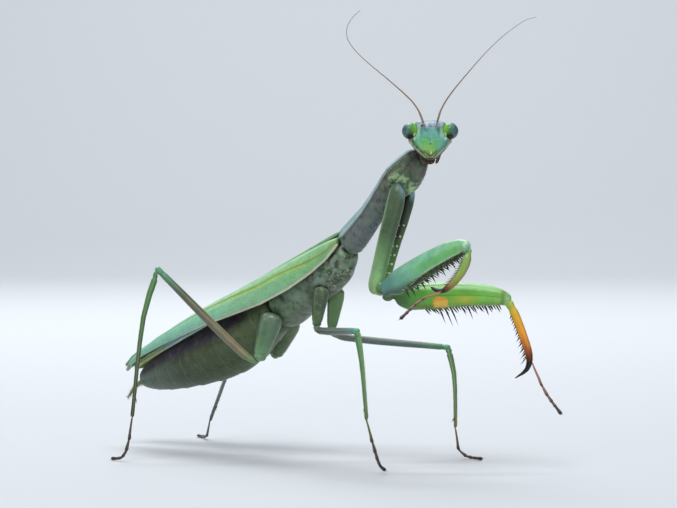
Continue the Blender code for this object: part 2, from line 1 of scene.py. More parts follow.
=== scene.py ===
# %% [markdown]
# # A praying mantis, life size
#
# A green adult female stands on four thin legs, grasping legs raised, and turns her head to look at us.
# A frame of plain solids already says how large every part is and where it stands. This lesson dresses
# that frame: it measures each solid, grows a fine surface inside it, adds spines, veins and hairs, and
# paints them with materials made of nodes.
#
# First the frame is loaded. Its box is kept, and its size is printed at the end.

# %% Load the frame
import math

import bmesh
import bpy
import numpy as np
from mathutils import Matrix, Vector
from mathutils.bvhtree import BVHTree


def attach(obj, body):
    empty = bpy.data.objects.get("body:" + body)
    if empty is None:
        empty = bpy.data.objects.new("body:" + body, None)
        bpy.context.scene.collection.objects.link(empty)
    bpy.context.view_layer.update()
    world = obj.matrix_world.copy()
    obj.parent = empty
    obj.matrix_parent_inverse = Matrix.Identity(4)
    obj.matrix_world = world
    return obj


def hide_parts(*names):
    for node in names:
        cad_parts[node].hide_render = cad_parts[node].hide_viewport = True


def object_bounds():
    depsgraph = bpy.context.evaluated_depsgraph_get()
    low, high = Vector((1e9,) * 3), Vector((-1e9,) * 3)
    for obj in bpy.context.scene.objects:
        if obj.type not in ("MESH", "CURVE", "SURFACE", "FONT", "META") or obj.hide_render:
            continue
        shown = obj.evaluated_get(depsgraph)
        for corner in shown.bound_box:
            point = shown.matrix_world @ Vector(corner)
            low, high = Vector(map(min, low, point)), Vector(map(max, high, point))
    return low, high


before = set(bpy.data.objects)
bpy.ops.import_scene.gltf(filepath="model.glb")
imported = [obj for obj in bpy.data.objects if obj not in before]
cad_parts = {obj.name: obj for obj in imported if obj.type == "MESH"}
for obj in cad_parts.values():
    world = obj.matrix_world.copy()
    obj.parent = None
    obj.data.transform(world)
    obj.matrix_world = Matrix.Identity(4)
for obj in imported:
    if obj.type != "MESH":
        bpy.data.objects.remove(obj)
cad_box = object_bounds()
MM = 0.001
ROOT = "root"
SIDES = {"left": 1, "right": -1}
UP = Vector((0.0, 0.0, 1.0))
print("solids:", len(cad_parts))

# %% [markdown]
# ## Measuring a solid
#
# Most of an insect is tubes: feelers, legs, neck, trunk. We could type in each tube's sizes again, but the
# frame holds them already. So we walk down the middle of a solid, casting rays to its surface all round.
# A solid is merged first, because a loaded mesh is loose triangles.

# %% A solid that can be measured
SAME_POINT = 0.002 * MM
END_SIZE, END_DEPTH = 0.9 * MM, 3.0 * MM


class Solid:
    """A merged copy of one solid of the frame, at which rays can be cast."""

    def __init__(self, name):
        self.name = name
        self.mesh = bmesh.new()
        self.mesh.from_mesh(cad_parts[name].data)
        bmesh.ops.remove_doubles(self.mesh, verts=self.mesh.verts, dist=SAME_POINT)
        self.tree = BVHTree.FromBMesh(self.mesh)
        self.points = np.array([vert.co for vert in self.mesh.verts])
        self.middle = Vector((self.points.min(axis=0) + self.points.max(axis=0)) / 2)

    def reach(self, place, way):
        """How far the surface is from a place inside, or None from a place outside."""
        _, normal, _, distance = self.tree.ray_cast(place, way)
        if distance is None or normal.dot(way) < 0:
            return None
        return distance

    def end_near(self, place):
        """The middle of the end that is nearest to a place, and the way into the solid from there."""
        gaps = np.linalg.norm(self.points - np.array(place), axis=1)
        away = np.linalg.norm(self.points - self.points[gaps.argmin()], axis=1)
        here = Vector(self.points[away < END_SIZE].mean(axis=0))
        deeper = Vector(self.points[away < END_DEPTH].mean(axis=0))
        return here, (deeper - here).normalized()

    def top(self):
        return Vector((self.middle.x, self.middle.y, self.points[:, 2].max()))


def round_rays(side, up, count):
    turns = [2 * math.pi * k / count for k in range(count)]
    return [side * math.cos(turn) + up * math.sin(turn) for turn in turns]


head_solid = Solid("head")
print("middle of the head, mm:", [round(x / MM, 1) for x in head_solid.middle])

# %% [markdown]
# A walk goes in short steps. At each step rays fan out across the way, their ends give the middle of the
# section, and longer rays ahead pull the way round a bend. Where no ray ahead is long, the solid ends.

# %% Walk down a tube
STEP = 0.22 * MM
MOST_STEPS = 600
FAN, AHEAD_FAN, MISSES = 16, 8, 3
SPINE_CUT = 1.3
LEANS = (0.0, 0.35, 0.7, 1.05)
TURNING = 0.4


def section_middle(solid, place, way):
    """The middle of the solid's section here, or None outside it. Rays down a spine are cut short."""
    side = way.orthogonal().normalized()
    rays = round_rays(side, way.cross(side), FAN)
    reaches = [solid.reach(place, ray) for ray in rays]
    known = sorted(reach for reach in reaches if reach is not None)
    if len(known) < FAN - MISSES:
        return None
    usual = known[len(known) // 2]
    reaches = [min(reach or usual, SPINE_CUT * usual) for reach in reaches]
    pull = sum((ray * reach**3 for ray, reach in zip(rays, reaches)), Vector())
    return place + pull * (2 / 3) / sum(reach**2 for reach in reaches)


def way_on(solid, place, way):
    """The way in which the solid goes on from here, or None where it ends."""
    side = way.orthogonal().normalized()
    wide = min(solid.reach(place, ray) or 0 for ray in round_rays(side, way.cross(side), AHEAD_FAN))
    pull, longest = Vector(), 0.0
    for lean in LEANS:
        for ray in round_rays(side, way.cross(side), AHEAD_FAN if lean else 1):
            ray = way * math.cos(lean) + ray * math.sin(lean)
            reach = solid.reach(place, ray) or 0
            pull += ray * reach**4
            longest = max(longest, reach)
    return None if longest < max(0.5 * wide, STEP) else pull.normalized()


def walk(solid, near):
    """The middle line of a tube-shaped solid, from its end nearest to a place to its other end."""
    here, way = solid.end_near(near)
    line = []
    for _ in range(MOST_STEPS):
        middle = section_middle(solid, here, way)
        if middle is None and line:
            break
        if middle is not None:
            line.append(middle)
            turned = way_on(solid, middle, way)
            if turned is None:
                break
            way = (way * (1 - TURNING) + turned * TURNING).normalized()
            here = middle
        here = here + way * STEP
    return to_the_ends(solid, line)


def to_the_ends(solid, line):
    """The line with its unsteady ends taken off and drawn straight on to the solid's surface."""
    middle, way = line[len(line) // 2], (line[len(line) // 2 + 1] - line[len(line) // 2 - 1]).normalized()
    unsteady = 0.7 * (solid.reach(middle, way.orthogonal().normalized()) or 0)
    steady = [place for place in line if min((place - line[0]).length, (place - line[-1]).length) >= unsteady]
    few = min(5, len(steady) - 1)
    first, last = (steady[0] - steady[few]).normalized(), (steady[-1] - steady[-1 - few]).normalized()
    start = steady[0] + first * (solid.reach(steady[0], first) or 0)
    end = steady[-1] + last * (solid.reach(steady[-1], last) or 0)
    return np.array([start, *steady, end])


def spaced(first, span, count):
    """Shares of a length, evenly spaced from the first one over a span."""
    return [first + span * k / (count - 1) for k in range(count)]


OUTSIDE = 60
SECTIONS, END_GAP = 60, 0.02


def straight(solid, way):
    """The middle line of a stubby solid, along a way through its middle."""
    core = Vector(solid.points.mean(axis=0))
    start, end = core - way * OUTSIDE * MM, core + way * OUTSIDE * MM
    front, back = solid.tree.ray_cast(start, way)[0], solid.tree.ray_cast(end, -way)[0]
    places = [front.lerp(back, share) for share in spaced(END_GAP, 1 - 2 * END_GAP, SECTIONS)]
    middles = [section_middle(solid, place, way) for place in places]
    return np.array([front, *[middle for middle in middles if middle is not None], back])


def blurred(rows, width, loop=False):
    """Rows of numbers, each mixed with its neighbours. A loop's last row is next to its first."""
    reach = max(int(width * 3), 1)
    weights = np.exp(-0.5 * (np.arange(-reach, reach + 1) / max(width, 0.01)) ** 2)
    padding = [(reach, reach)] + [(0, 0)] * (rows.ndim - 1)
    padded = np.pad(rows, padding, mode="wrap" if loop else "edge")
    pieces = [padded[k : k + len(rows)] * weight for k, weight in enumerate(weights)]
    return sum(pieces) / weights.sum()


def evenly(line, count):
    """A line with this many points, spaced evenly."""
    lengths = np.r_[0, np.cumsum(np.linalg.norm(np.diff(line, axis=0), axis=1))]
    places = np.linspace(0, lengths[-1], count)
    return np.stack([np.interp(places, lengths, line[:, axis]) for axis in range(3)], axis=1)


print("a walk's steps are", round(STEP / MM, 2), "mm long, with", FAN, "rays round each place")


# %% [markdown]
# A tube keeps the walk's line, a frame for each of its points, and a table of how far the surface is from
# the line at each angle. The frames are carried along the line without twisting, so that markings run
# straight down a bent leg. Narrow spikes in the table are spines: the lowest value near each place, and
# then the highest of those, takes them off and leaves the limb as it is.

# %% The tube and its table
LINE_EASE, ROUND_EASE = 2.0, 2.2
SPIKE_WIDTH = 4


class Tube:
    """A solid's middle line with its frames, and its reach at each place and angle."""

    def __init__(self, solid, line, hint, roll=0.0, count=90, around=48, spined=False, ease=1.6):
        self.solid, self.around = solid, around
        line = evenly(line, count)
        ends = line[[0, -1]].copy()
        line = blurred(line, LINE_EASE)
        line[[0, -1]] = ends
        self.line = evenly(line, count)
        self.length = np.linalg.norm(np.diff(self.line, axis=0), axis=1).sum()
        self.ways = np.gradient(self.line, axis=0)
        self.ways /= np.linalg.norm(self.ways, axis=1)[:, None]
        self.carry_frames(Vector(hint), roll)
        reach = self.read_reach()
        reach = self.without_spikes(reach) if spined else reach
        reach = blurred(reach, ease)
        self.reach = blurred(reach.T, ROUND_EASE * around / 48, loop=True).T

    def carry_frames(self, hint, roll):
        self.sides, self.ups = np.zeros_like(self.line), np.zeros_like(self.line)
        half = len(self.line) // 2
        first = Vector(self.ways[half])
        middle_side = Matrix.Rotation(math.radians(roll), 3, first) @ hint.cross(first).normalized()
        for rows in (range(half, len(self.line)), range(half, -1, -1)):
            side = middle_side
            for k in rows:
                way = Vector(self.ways[k])
                side = (side - way * side.dot(way)).normalized()
                self.sides[k] = side
                self.ups[k] = way.cross(side)

    def read_reach(self):
        table = np.full((len(self.line), self.around), np.nan)
        for k, place in enumerate(self.line):
            rays = round_rays(Vector(self.sides[k]), Vector(self.ups[k]), self.around)
            table[k] = [self.solid.reach(Vector(place), ray) or np.nan for ray in rays]
        whole = np.where(np.isfinite(table).all(axis=1))[0]
        for j in range(self.around):
            table[:, j] = np.interp(np.arange(len(table)), whole, table[whole, j])
        return table

    def without_spikes(self, table):
        for pick in (np.min, np.max):
            padded = np.pad(table, ((SPIKE_WIDTH, SPIKE_WIDTH), (0, 0)), mode="edge")
            table = pick([padded[k : k + len(table)] for k in range(2 * SPIKE_WIDTH + 1)], axis=0)
        return table

    def at(self, share, turn):
        """Middles, outward ways and reaches for arrays of shares of the length and of turns in radians."""
        last = len(self.line) - 1
        rows = np.clip(share, 0, 1) * last
        columns = (turn / (2 * math.pi)) % 1 * self.around
        low, low_column = np.floor(rows).astype(int), np.floor(columns).astype(int) % self.around
        high, high_column = np.minimum(low + 1, last), (low_column + 1) % self.around
        f, g = (rows - low)[..., None], columns % 1
        line = self.line[low] * (1 - f) + self.line[high] * f
        beyond = (share - np.clip(share, 0, 1)) * self.length
        line = line + self.ways[low] * beyond[..., None]
        side = self.sides[low] * (1 - f) + self.sides[high] * f
        up = self.ups[low] * (1 - f) + self.ups[high] * f
        out = side * np.cos(turn)[..., None] + up * np.sin(turn)[..., None]
        f = f[..., 0]
        near = self.reach[low, low_column] * (1 - g) + self.reach[low, high_column] * g
        far = self.reach[high, low_column] * (1 - g) + self.reach[high, high_column] * g
        return line, out, near * (1 - f) + far * f

    def on(self, share, degrees, sink=0.0):
        """One place on the surface, sunk by some metres, and the way out there."""
        line, out, reach = self.at(np.array([share]), np.radians([degrees]))
        return Vector(line[0] + out[0] * (reach[0] * KEEP - sink)), Vector(out[0])


def tube(name, near, hint, **more):
    """The tube of a solid, measured from its end nearest to a place."""
    solid = Solid(name)
    return Tube(solid, walk(solid, near), hint, **more)


KEEP = 0.985
feelers = {side: tube("antenna_" + side, head_solid.middle, UP) for side in SIDES}
print("feelers, mm long:", [round(feeler.length / MM, 1) for feeler in feelers.values()])

# %% [markdown]
# ## Growing a skin
#
# The skin of a tube is rows of points round its line, a little inside the solid, with both ends rounded.
# It may start before the tube does, so that a joint is buried in its neighbour and no gap shows.
# A shaping function may draw the skin in by a share of its reach, for ridges, grooves and joints. It hands
# back masks too, which the skin keeps as attributes for its material to read.

# %% The skin of a tube


def smooth(x, low, high):
    """0 below low, 1 above high, and an easy curve between them."""
    t = np.clip((x - low) / (high - low), 0, 1)
    return t * t * (3 - 2 * t)


def fade(x, low, high):
    """1 below low, 0 above high, and an easy curve between them."""
    return 1 - smooth(x, low, high)


def hill(x, place, width):
    """A soft hill of height 1 at a place."""
    return np.exp(-(((x - place) / width) ** 2))


def facing(turn, degrees, width):
    """1 where the skin faces an angle round its line, falling to 0 this many degrees from it."""
    return smooth(np.cos(turn - math.radians(degrees)), math.cos(math.radians(width)), 1.0)


def finished(name, mesh):
    """An object from a mesh, facing outward and smooth."""
    work = bmesh.new()
    work.from_mesh(mesh)
    bmesh.ops.recalc_face_normals(work, faces=work.faces)
    if work.calc_volume(signed=True) < 0:
        bmesh.ops.reverse_faces(work, faces=work.faces)
    work.to_mesh(mesh)
    work.free()
    mesh.shade_smooth()
    thing = bpy.data.objects.new(name, mesh)
    bpy.context.scene.collection.objects.link(thing)
    return thing


def closed_grid(name, points, masks):
    """A closed mesh from rows of points, with a pole at both ends and its masks as attributes."""
    rows, columns = points.shape[:2]
    poles = np.array([points[0].mean(axis=0), points[-1].mean(axis=0)])
    places = np.concatenate([points.reshape(-1, 3), poles])
    first, last = rows * columns, rows * columns + 1
    faces = []
    for row in range(rows - 1):
        low, high = row * columns, (row + 1) * columns
        for k in range(columns):
            after = (k + 1) % columns
            faces.append((low + k, low + after, high + after, high + k))
    for k in range(columns):
        after = (k + 1) % columns
        faces.append((first, after, k))
        faces.append((last, (rows - 1) * columns + k, (rows - 1) * columns + after))
    mesh = bpy.data.meshes.new(name)
    mesh.from_pydata(places.tolist(), [], faces)
    for mask, values in masks.items():
        flat = np.broadcast_to(values, (rows, columns)).reshape(-1)
        flat = np.concatenate([flat, [flat[:columns].mean(), flat[-columns:].mean()]])
        mesh.attributes.new(mask, "FLOAT", "POINT").data.foreach_set("value", flat.astype(np.float32))
    return finished(name, mesh)


def cover(name, tube, shape=None, along=140, around=56, cap=0.35 * MM, end=1.0, bury=0.0):
    """The skin of a tube up to a share of its length, with caps this long. Its start is buried this deep."""
    first = -bury / tube.length
    even, eased = np.linspace(0, 1, along), 0.5 - 0.5 * np.cos(np.pi * np.linspace(0, 1, along))
    share = first + (end - first) * (0.6 * even + 0.4 * eased)
    turn = np.linspace(0, 2 * math.pi, around, endpoint=False)
    share, turn = np.meshgrid(share, turn, indexing="ij")
    line, out, reach = tube.at(share, turn)
    far = np.minimum(share - first, end - share) * tube.length
    rounding = np.sqrt(np.clip(1 - (1 - np.clip(far / cap, 0, 1)) ** 2, 0.0004, 1))
    factor, masks = shape(share, turn, line + out * reach[..., None]) if shape else (1.0, {})
    points = line + out * (reach * rounding * factor * KEEP)[..., None]
    return closed_grid(name, points, {"along": share, "turn": np.cos(turn), "rise": np.sin(turn), **masks})


print("skins keep", round(100 * KEEP, 1), "percent of a solid's reach")

# %% [markdown]
# ## Mixing finishes
#
# A finish is a material made of nodes. Wiring them one by one is long to read, so one small class wraps a
# socket and turns Python's sums into Math nodes, and another holds the material and adds any other node.

# %% Nodes as expressions


class Field:
    """A socket of a node tree. Adding or multiplying fields adds Math nodes."""

    def __init__(self, tree, socket):
        self.tree, self.socket = tree, socket

    def math(self, operation, *values):
        return self.tree.node("ShaderNodeMath", {"operation": operation}, dict(enumerate(values)))

    def __add__(self, other):
        return self.math("ADD", self, other)

    def __sub__(self, other):
        return self.math("SUBTRACT", self, other)

    def __rsub__(self, other):
        return self.math("SUBTRACT", other, self)

    def __mul__(self, other):
        return self.math("MULTIPLY", self, other)

    def __pow__(self, other):
        return self.math("POWER", self, other)

    __radd__, __rmul__ = __add__, __mul__

    def size(self):
        return self.math("ABSOLUTE", self)

    def between(self, low, high, to_low=0.0, to_high=1.0):
        """An easy change from to_low to to_high as the field goes from low to high."""
        sockets = {"Value": self, 1: low, 2: high, 3: to_low, 4: to_high}
        return self.tree.node("ShaderNodeMapRange", {"interpolation_type": "SMOOTHSTEP"}, sockets)

    def fall(self, low, high):
        """An easy change from 1 to 0 as the field goes from low to high."""
        return self.between(low, high, 1.0, 0.0)

    def near(self, place, width):
        """1 at a value, falling to 0 this far from it."""
        return (self - place).size().fall(0.0, width)


def light(colour):
    """A colour as a picture editor shows it, from 0 to 255, turned into light. A field stays as it is."""
    if isinstance(colour, Field):
        return colour
    parts = [part / 255 for part in colour]
    return (*[part / 12.92 if part < 0.04045 else ((part + 0.055) / 1.055) ** 2.4 for part in parts], 1.0)


class Nodes:
    """A node tree that is being built."""

    def __init__(self, tree):
        self.tree = tree

    def node(self, kind, settings, sockets, out=0):
        """A node of a kind, with its settings, and its sockets' values or links. It gives a field."""
        node = self.tree.nodes.new(kind)
        for name, value in settings.items():
            if name == "stops":
                self.set_stops(node.color_ramp, value)
            else:
                setattr(node, name, value)
        for name, value in sockets.items():
            if isinstance(value, Field):
                self.tree.links.new(value.socket, node.inputs[name])
            else:
                node.inputs[name].default_value = value
        return Field(self, node.outputs[out])

    def set_stops(self, ramp, stops):
        while len(ramp.elements) < len(stops):
            ramp.elements.new(0.5)
        for element, (place, colour) in zip(ramp.elements, stops):
            element.position, element.color = place, light(colour)


class Finish(Nodes):
    """A material that is being mixed. Its shader's fixed values are given by name."""

    def __init__(self, name, **shine):
        self.material = bpy.data.materials.new(name)
        self.material.use_nodes = True
        super().__init__(self.material.node_tree)
        self.shader = self.tree.nodes["Principled BSDF"]
        for socket, value in shine.items():
            self.shader.inputs[socket.replace("_", " ").title().replace("Ior", "IOR")].default_value = value
        self.place = self.node("ShaderNodeTexCoord", {}, {}, "Object")

    def mask(self, name):
        return self.node("ShaderNodeAttribute", {"attribute_name": name}, {}, "Fac")

    def facing(self, degrees, width):
        """1 where the skin faces an angle round its line, falling to 0 this many degrees from it."""
        angle = math.radians(degrees)
        toward = self.mask("turn") * math.cos(angle) + self.mask("rise") * math.sin(angle)
        return toward.between(math.cos(math.radians(width)), 1.0)

    def noise(self, size, detail=2.0, stretch=None):
        """Soft spots of about a size in metres, around one half."""
        place = self.place
        if stretch:
            place = self.node("ShaderNodeMapping", {}, {"Vector": place, "Scale": stretch})
        sockets = {"Vector": place, "Scale": 1 / size, "Detail": detail}
        return self.node("ShaderNodeTexNoise", {}, sockets, "Fac")

    def cells(self, size):
        return self.node("ShaderNodeTexVoronoi", {}, {"Vector": self.place, "Scale": 1 / size}, "Distance")

    def ramp(self, field, *stops):
        """Colours along a field."""
        return self.node("ShaderNodeValToRGB", {"stops": stops}, {"Fac": field})

    def layers(self, under, *layers):
        """Colours laid over a first one. Before each stands its share, or a mask's name and strength."""
        for *share, colour in layers:
            share = self.mask(share[0]) * share[1] if len(share) > 1 else share[0]
            sockets = {0: share, 6: light(under), 7: light(colour)}
            under = self.node("ShaderNodeMix", {"data_type": "RGBA"}, sockets, 2)
        return under

    def shade(self, colour, by):
        """A colour made lighter or darker by a field around 1."""
        grey = self.node("ShaderNodeCombineColor", {}, {0: by, 1: by, 2: by})
        settings = {"data_type": "RGBA", "blend_type": "MULTIPLY"}
        return self.node("ShaderNodeMix", settings, {0: 1.0, 6: light(colour), 7: grey}, 2)

    def wear(self, colour, roughness=0.4, height=None, depth=0.02 * MM):
        """Puts the colour, the roughness and the relief on the shader, and gives the material."""
        links = {"Base Color": light(colour), "Roughness": roughness}
        if height is not None:
            sockets = {"Height": height, "Distance": depth, "Strength": 0.8}
            links["Normal"] = self.node("ShaderNodeBump", {}, sockets)
        for name, value in links.items():
            if isinstance(value, Field):
                self.tree.links.new(value.socket, self.shader.inputs[name])
            else:
                self.shader.inputs[name].default_value = value
        return self.material


print("white as light:", [round(part, 3) for part in light((255, 255, 255))])

# %% [markdown]
# A few colours come back on many parts: teal and cream on the edges of the plates, olive and purple
# underneath, and horn black on claws and spines. Colours are red, green and blue, from 0 to 255.

# %% The palette
OLIVE = (62, 72, 42)
DARK_OLIVE = (38, 46, 30)
TEAL = (84, 156, 136)
PALE_TEAL = (158, 206, 184)
LILAC = (168, 180, 204)
CREAM = (226, 222, 194)
GREY_GREEN = (80, 98, 78)
RUST = (150, 72, 36)
BROWN = (84, 62, 50)
PURPLE = (50, 44, 60)
HORN = (22, 18, 20)
print("cream as light:", [round(part, 2) for part in light(CREAM)])


def dress(piece, finish, slot, *nodes):
    """Gives a piece its finish, and hides the solids that it stands for."""
    piece.data.materials.clear()
    piece.data.materials.append(finish)
    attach(piece, ROOT)
    if nodes:
        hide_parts(*nodes)
    return piece


def skin(node, tube, shape, finish, slot, **sizes):
    """The dressed skin of a solid. It stands for the solid."""
    return dress(cover(node + "_skin", tube, shape, **sizes), finish, slot, node)


# %% [markdown]
# All of the shell shares some looks: a waxy gloss that is softer in places, pores and wrinkles too fine to
# model, and a slight change of tone from spot to spot. A function adds those, and each part brings its own
# colours.

# %% The shell's own looks


def shell(name, colours, pores=0.16 * MM, wrinkles=None, depth=0.016 * MM, gloss=0.38):
    """A waxy shell finish. The colours come from a function of the finish being mixed."""
    finish = Finish(name, specular_ior_level=0.5, subsurface_weight=0.08, subsurface_scale=0.4 * MM)
    broad, fine = finish.noise(1.3 * MM, 3.0), finish.noise(pores, 2.0)
    colour = finish.shade(colours(finish), (broad * 0.5 + fine * 0.3) + 0.6)
    height = finish.cells(pores) * 0.6 + fine * 0.5
    if wrinkles:
        height = height + finish.noise(wrinkles, 3.0) * 0.9
    return finish.wear(colour, broad * 0.22 + fine * 0.1 + (gloss - 0.16), height, depth)


horn = shell("horn", lambda finish: finish.ramp(finish.mask("tip"), (0.0, BROWN), (0.45, HORN)), gloss=0.25)
print("finishes:", len(bpy.data.materials))

# %% [markdown]
# ## Growing many small things
#
# Spines, teeth, bumps and hairs are one small shape, repeated. Geometry Nodes set such a shape on every
# point of a mesh, turned along the point's own way and scaled to its own length. The tree below ends by
# making the copies real and giving them their finish, and the result is kept as a plain mesh.

# %% A tree that grows copies


class Growth(Nodes):
    """A Geometry Nodes tree with named sizes."""

    def __init__(self, name, **sizes):
        super().__init__(bpy.data.node_groups.new(name, "GeometryNodeTree"))
        self.name, self.sizes = name, {}
        self.tree.interface.new_socket("Geometry", in_out="OUTPUT", socket_type="NodeSocketGeometry")
        self.tree.interface.new_socket("Geometry", in_out="INPUT", socket_type="NodeSocketGeometry")
        for size, value in sizes.items():
            kind = "NodeSocketInt" if isinstance(value, int) else "NodeSocketFloat"
            socket = self.tree.interface.new_socket(size, in_out="INPUT", socket_type=kind)
            self.sizes[socket.identifier] = value
        self.inputs = self.tree.nodes.new("NodeGroupInput")

    def given(self, name):
        return Field(self, self.inputs.outputs[name])

    def attribute(self, name, kind="FLOAT"):
        return self.node("GeometryNodeInputNamedAttribute", {"data_type": kind}, {"Name": name})

    def grow(self, instances, finish, mesh):
        """Runs the tree on a mesh and gives the result as an object of its own."""
        real = self.node("GeometryNodeRealizeInstances", {}, {"Geometry": instances})
        dressed = self.node("GeometryNodeSetMaterial", {}, {"Geometry": real, "Material": finish})
        output = self.tree.nodes.new("NodeGroupOutput")
        self.tree.links.new(dressed.socket, output.inputs["Geometry"])
        host = bpy.data.objects.new(self.name, mesh)
        bpy.context.scene.collection.objects.link(host)
        modifier = host.modifiers.new("growth", "NODES")
        modifier.node_group = self.tree
        for identifier, value in self.sizes.items():
            modifier[identifier] = value
        evaluated = host.evaluated_get(bpy.context.evaluated_depsgraph_get())
        grown = bpy.data.meshes.new_from_object(evaluated)
        bpy.data.objects.remove(host)
        return finished(self.name, grown)


def unit(vectors):
    vectors = np.asarray(vectors, float)
    return vectors / np.linalg.norm(vectors, axis=-1, keepdims=True)


def spikes(name, finish, feet, ways, lengths, widths, facets=7, steps=5, bend=0.0, blunt=0.0):
    """Cones that stand on feet, each along its way. They bend forward, and a blunt one is a knob."""
    mesh = bpy.data.meshes.new(name + "_feet")
    mesh.from_pydata(np.asarray(feet, float).tolist(), [], [])
    count = len(mesh.vertices)
    mesh.attributes.new("way", "FLOAT_VECTOR", "POINT").data.foreach_set("vector", unit(ways).ravel())
    for attribute, values in {"long": lengths, "wide": widths}.items():
        values = np.broadcast_to(np.asarray(values, float), count).astype(np.float32)
        mesh.attributes.new(attribute, "FLOAT", "POINT").data.foreach_set("value", values)
    growth = Growth(name, facets=facets, steps=steps, bend=bend, blunt=blunt)
    sockets = {
        "Vertices": growth.given("facets"),
        "Side Segments": growth.given("steps"),
        "Radius Top": 0.06,
        "Radius Bottom": 1.0,
        "Depth": 1.0,
    }
    cone = growth.node("GeometryNodeMeshCone", {"fill_type": "TRIANGLE_FAN"}, sockets)
    place = growth.node("GeometryNodeInputPosition", {}, {})
    height = growth.node("ShaderNodeSeparateXYZ", {}, {0: place}, 2)
    fuller = growth.given("blunt") * (1 - height) * height * 6.0 + 1.0
    wide = growth.node("ShaderNodeCombineXYZ", {}, {0: fuller, 1: fuller, 2: 1.0})
    fattened = growth.node("ShaderNodeVectorMath", {"operation": "MULTIPLY"}, {0: place, 1: wide})
    lean = growth.node("ShaderNodeCombineXYZ", {}, {0: growth.given("bend") * height * height})
    bent = growth.node(
        "GeometryNodeSetPosition", {}, {"Geometry": cone, "Position": fattened, "Offset": lean}
    )
    settings = {"data_type": "FLOAT", "domain": "POINT"}
    sockets = {"Geometry": bent, "Name": "tip", "Value": height}
    marked = growth.node("GeometryNodeStoreNamedAttribute", settings, sockets)
    turned = growth.node(
        "FunctionNodeAlignRotationToVector", {"axis": "Z"}, {
            "Vector": growth.attribute("way", "FLOAT_VECTOR")
        }
    )
    across, up = growth.attribute("wide"), growth.attribute("long")
    scale = growth.node("ShaderNodeCombineXYZ", {}, {0: across, 1: across, 2: up})
    sockets = {"Points": growth.given("Geometry"), "Instance": marked, "Rotation": turned, "Scale": scale}
    return growth.grow(growth.node("GeometryNodeInstanceOnPoints", {}, sockets), finish, mesh)


def plant(name, finish, slot, *feet, **shape):
    """Spikes that are dressed at once."""
    return dress(spikes(name, finish, *feet, **shape), finish, slot)


print("a way made one unit long:", unit([3.0, 0.0, 4.0]))


# %% [markdown]
# Where the frame has spines, their places are read from its solids: a spine's tip is a point with four
# neighbours that stand close together, far below it.

# %% Find the spines of a solid
SPINE_KEEP = 0.97


def spines_of(solid, shortest=0.45, sink=0.12, longer=0.1):
    """The sunk feet, ways and lengths of the spines that a solid carries. The limits are in millimetres."""
    feet, ways, lengths = [], [], []
    for tip in solid.mesh.verts:
        around = [edge.other_vert(tip).co for edge in tip.link_edges]
        foot = sum(around, Vector()) / len(around)
        spread = max((corner - foot).length for corner in around)
        length = (tip.co - foot).length
        if len(around) == 4 and length > shortest * MM and spread < 0.75 * length:
            ways.append((tip.co - foot) / length)
            feet.append(foot - ways[-1] * sink * MM)
            lengths.append(SPINE_KEEP * length + longer * MM)
    return feet, ways, lengths


for side in SIDES:
    print("spines under the", side, "grasping femur:", len(spines_of(Solid("fore_femur_" + side))[0]))

# %% [markdown]
# ## Grasping legs
#
# A mantis strikes with its front legs. The long coxa hangs from the neck shield, a small knuckle joins it to
# the thick femur, and the tibia snaps shut against the femur's double row of spines. The tubes are measured
# first, each from the end of the one before it.

# %% Measure the grasping legs
AHEAD = Vector((1.0, 0.0, 0.0))
FEMUR_ROLLS = {"right": -22.0, "left": -8.0}
FEMUR_RIDGES = {"right": {"outer": 242.0, "inner": 304.0}, "left": {"outer": 244.0, "inner": 300.0}}
legs = {}
for side in SIDES:
    coxa = tube("fore_coxa_" + side, Solid("fore_coxa_" + side).top(), AHEAD)
    hip = Vector(coxa.line[-1])
    knuckle = Solid("fore_trochanter_" + side)
    across = (Vector(knuckle.points.mean(axis=0)) - hip).normalized()
    knuckle = Tube(knuckle, straight(knuckle, across), UP, count=30)
    femur = tube("fore_femur_" + side, hip, UP, roll=FEMUR_ROLLS[side], spined=True)
    knee = Vector(femur.line[-1])
    tibia = tube("fore_tibia_" + side, knee, UP, count=120, spined=True, ease=1.0)
    ankle = Solid("fore_tarsus_" + side).end_near(tibia.line[60])[0]
    foot = tube("fore_tarsus_" + side, ankle, UP)
    legs["fore_" + side] = {
        "coxa": coxa, "trochanter": knuckle, "femur": femur, "tibia": tibia, "tarsus": foot
    }
    print(
        side, "grasping leg, mm:", {part: round(t.length / MM, 1) for part, t in legs["fore_" + side].items()}
    )

# %% [markdown]
# The coxa is three-sided, with a pale ridge down each corner. A row of pale bumps runs down it, larger on
# the far leg. The ridges are left at full reach and the faces between them are drawn in a little.

# %% The coxae
RIDGES = (66.0, 220.0, 330.0)


def coxa_shape(share, turn, points):
    ridge = sum(facing(turn, degrees, 16) for degrees in RIDGES)
    waist = 0.05 * hill(share, 0.93, 0.03)
    return 0.94 + 0.06 * ridge - waist * smooth(share, 0.8, 1), {"ridge": ridge}


def near_coxa_colours(finish):
    along = finish.mask("along")
    dull = finish.ramp(
        along,
        (0.0, (90, 116, 92)),
        (0.15, (78, 98, 72)),
        (0.45, (72, 98, 67)),
        (0.7, (112, 158, 104)),
        (0.88, (148, 198, 134)),
        (1.0, (140, 184, 116)),
    )
    # Painted light: the side facing 195 degrees is painted lighter, from the middle of the coxa to its end.
    light = finish.facing(195, 50) * along.between(0.4, 0.85)
    patch = finish.facing(80, 48) * along.fall(0.05, 0.17)
    return finish.layers(
        dull,
        (finish.noise(0.7 * MM, 3.0).between(0.52, 0.68) * 0.35, (104, 124, 98)),
        (light * 0.5, (124, 158, 112)),
        (patch * 0.85, (148, 184, 196)),
        ("ridge", 0.55, (150, 178, 142)),
    )


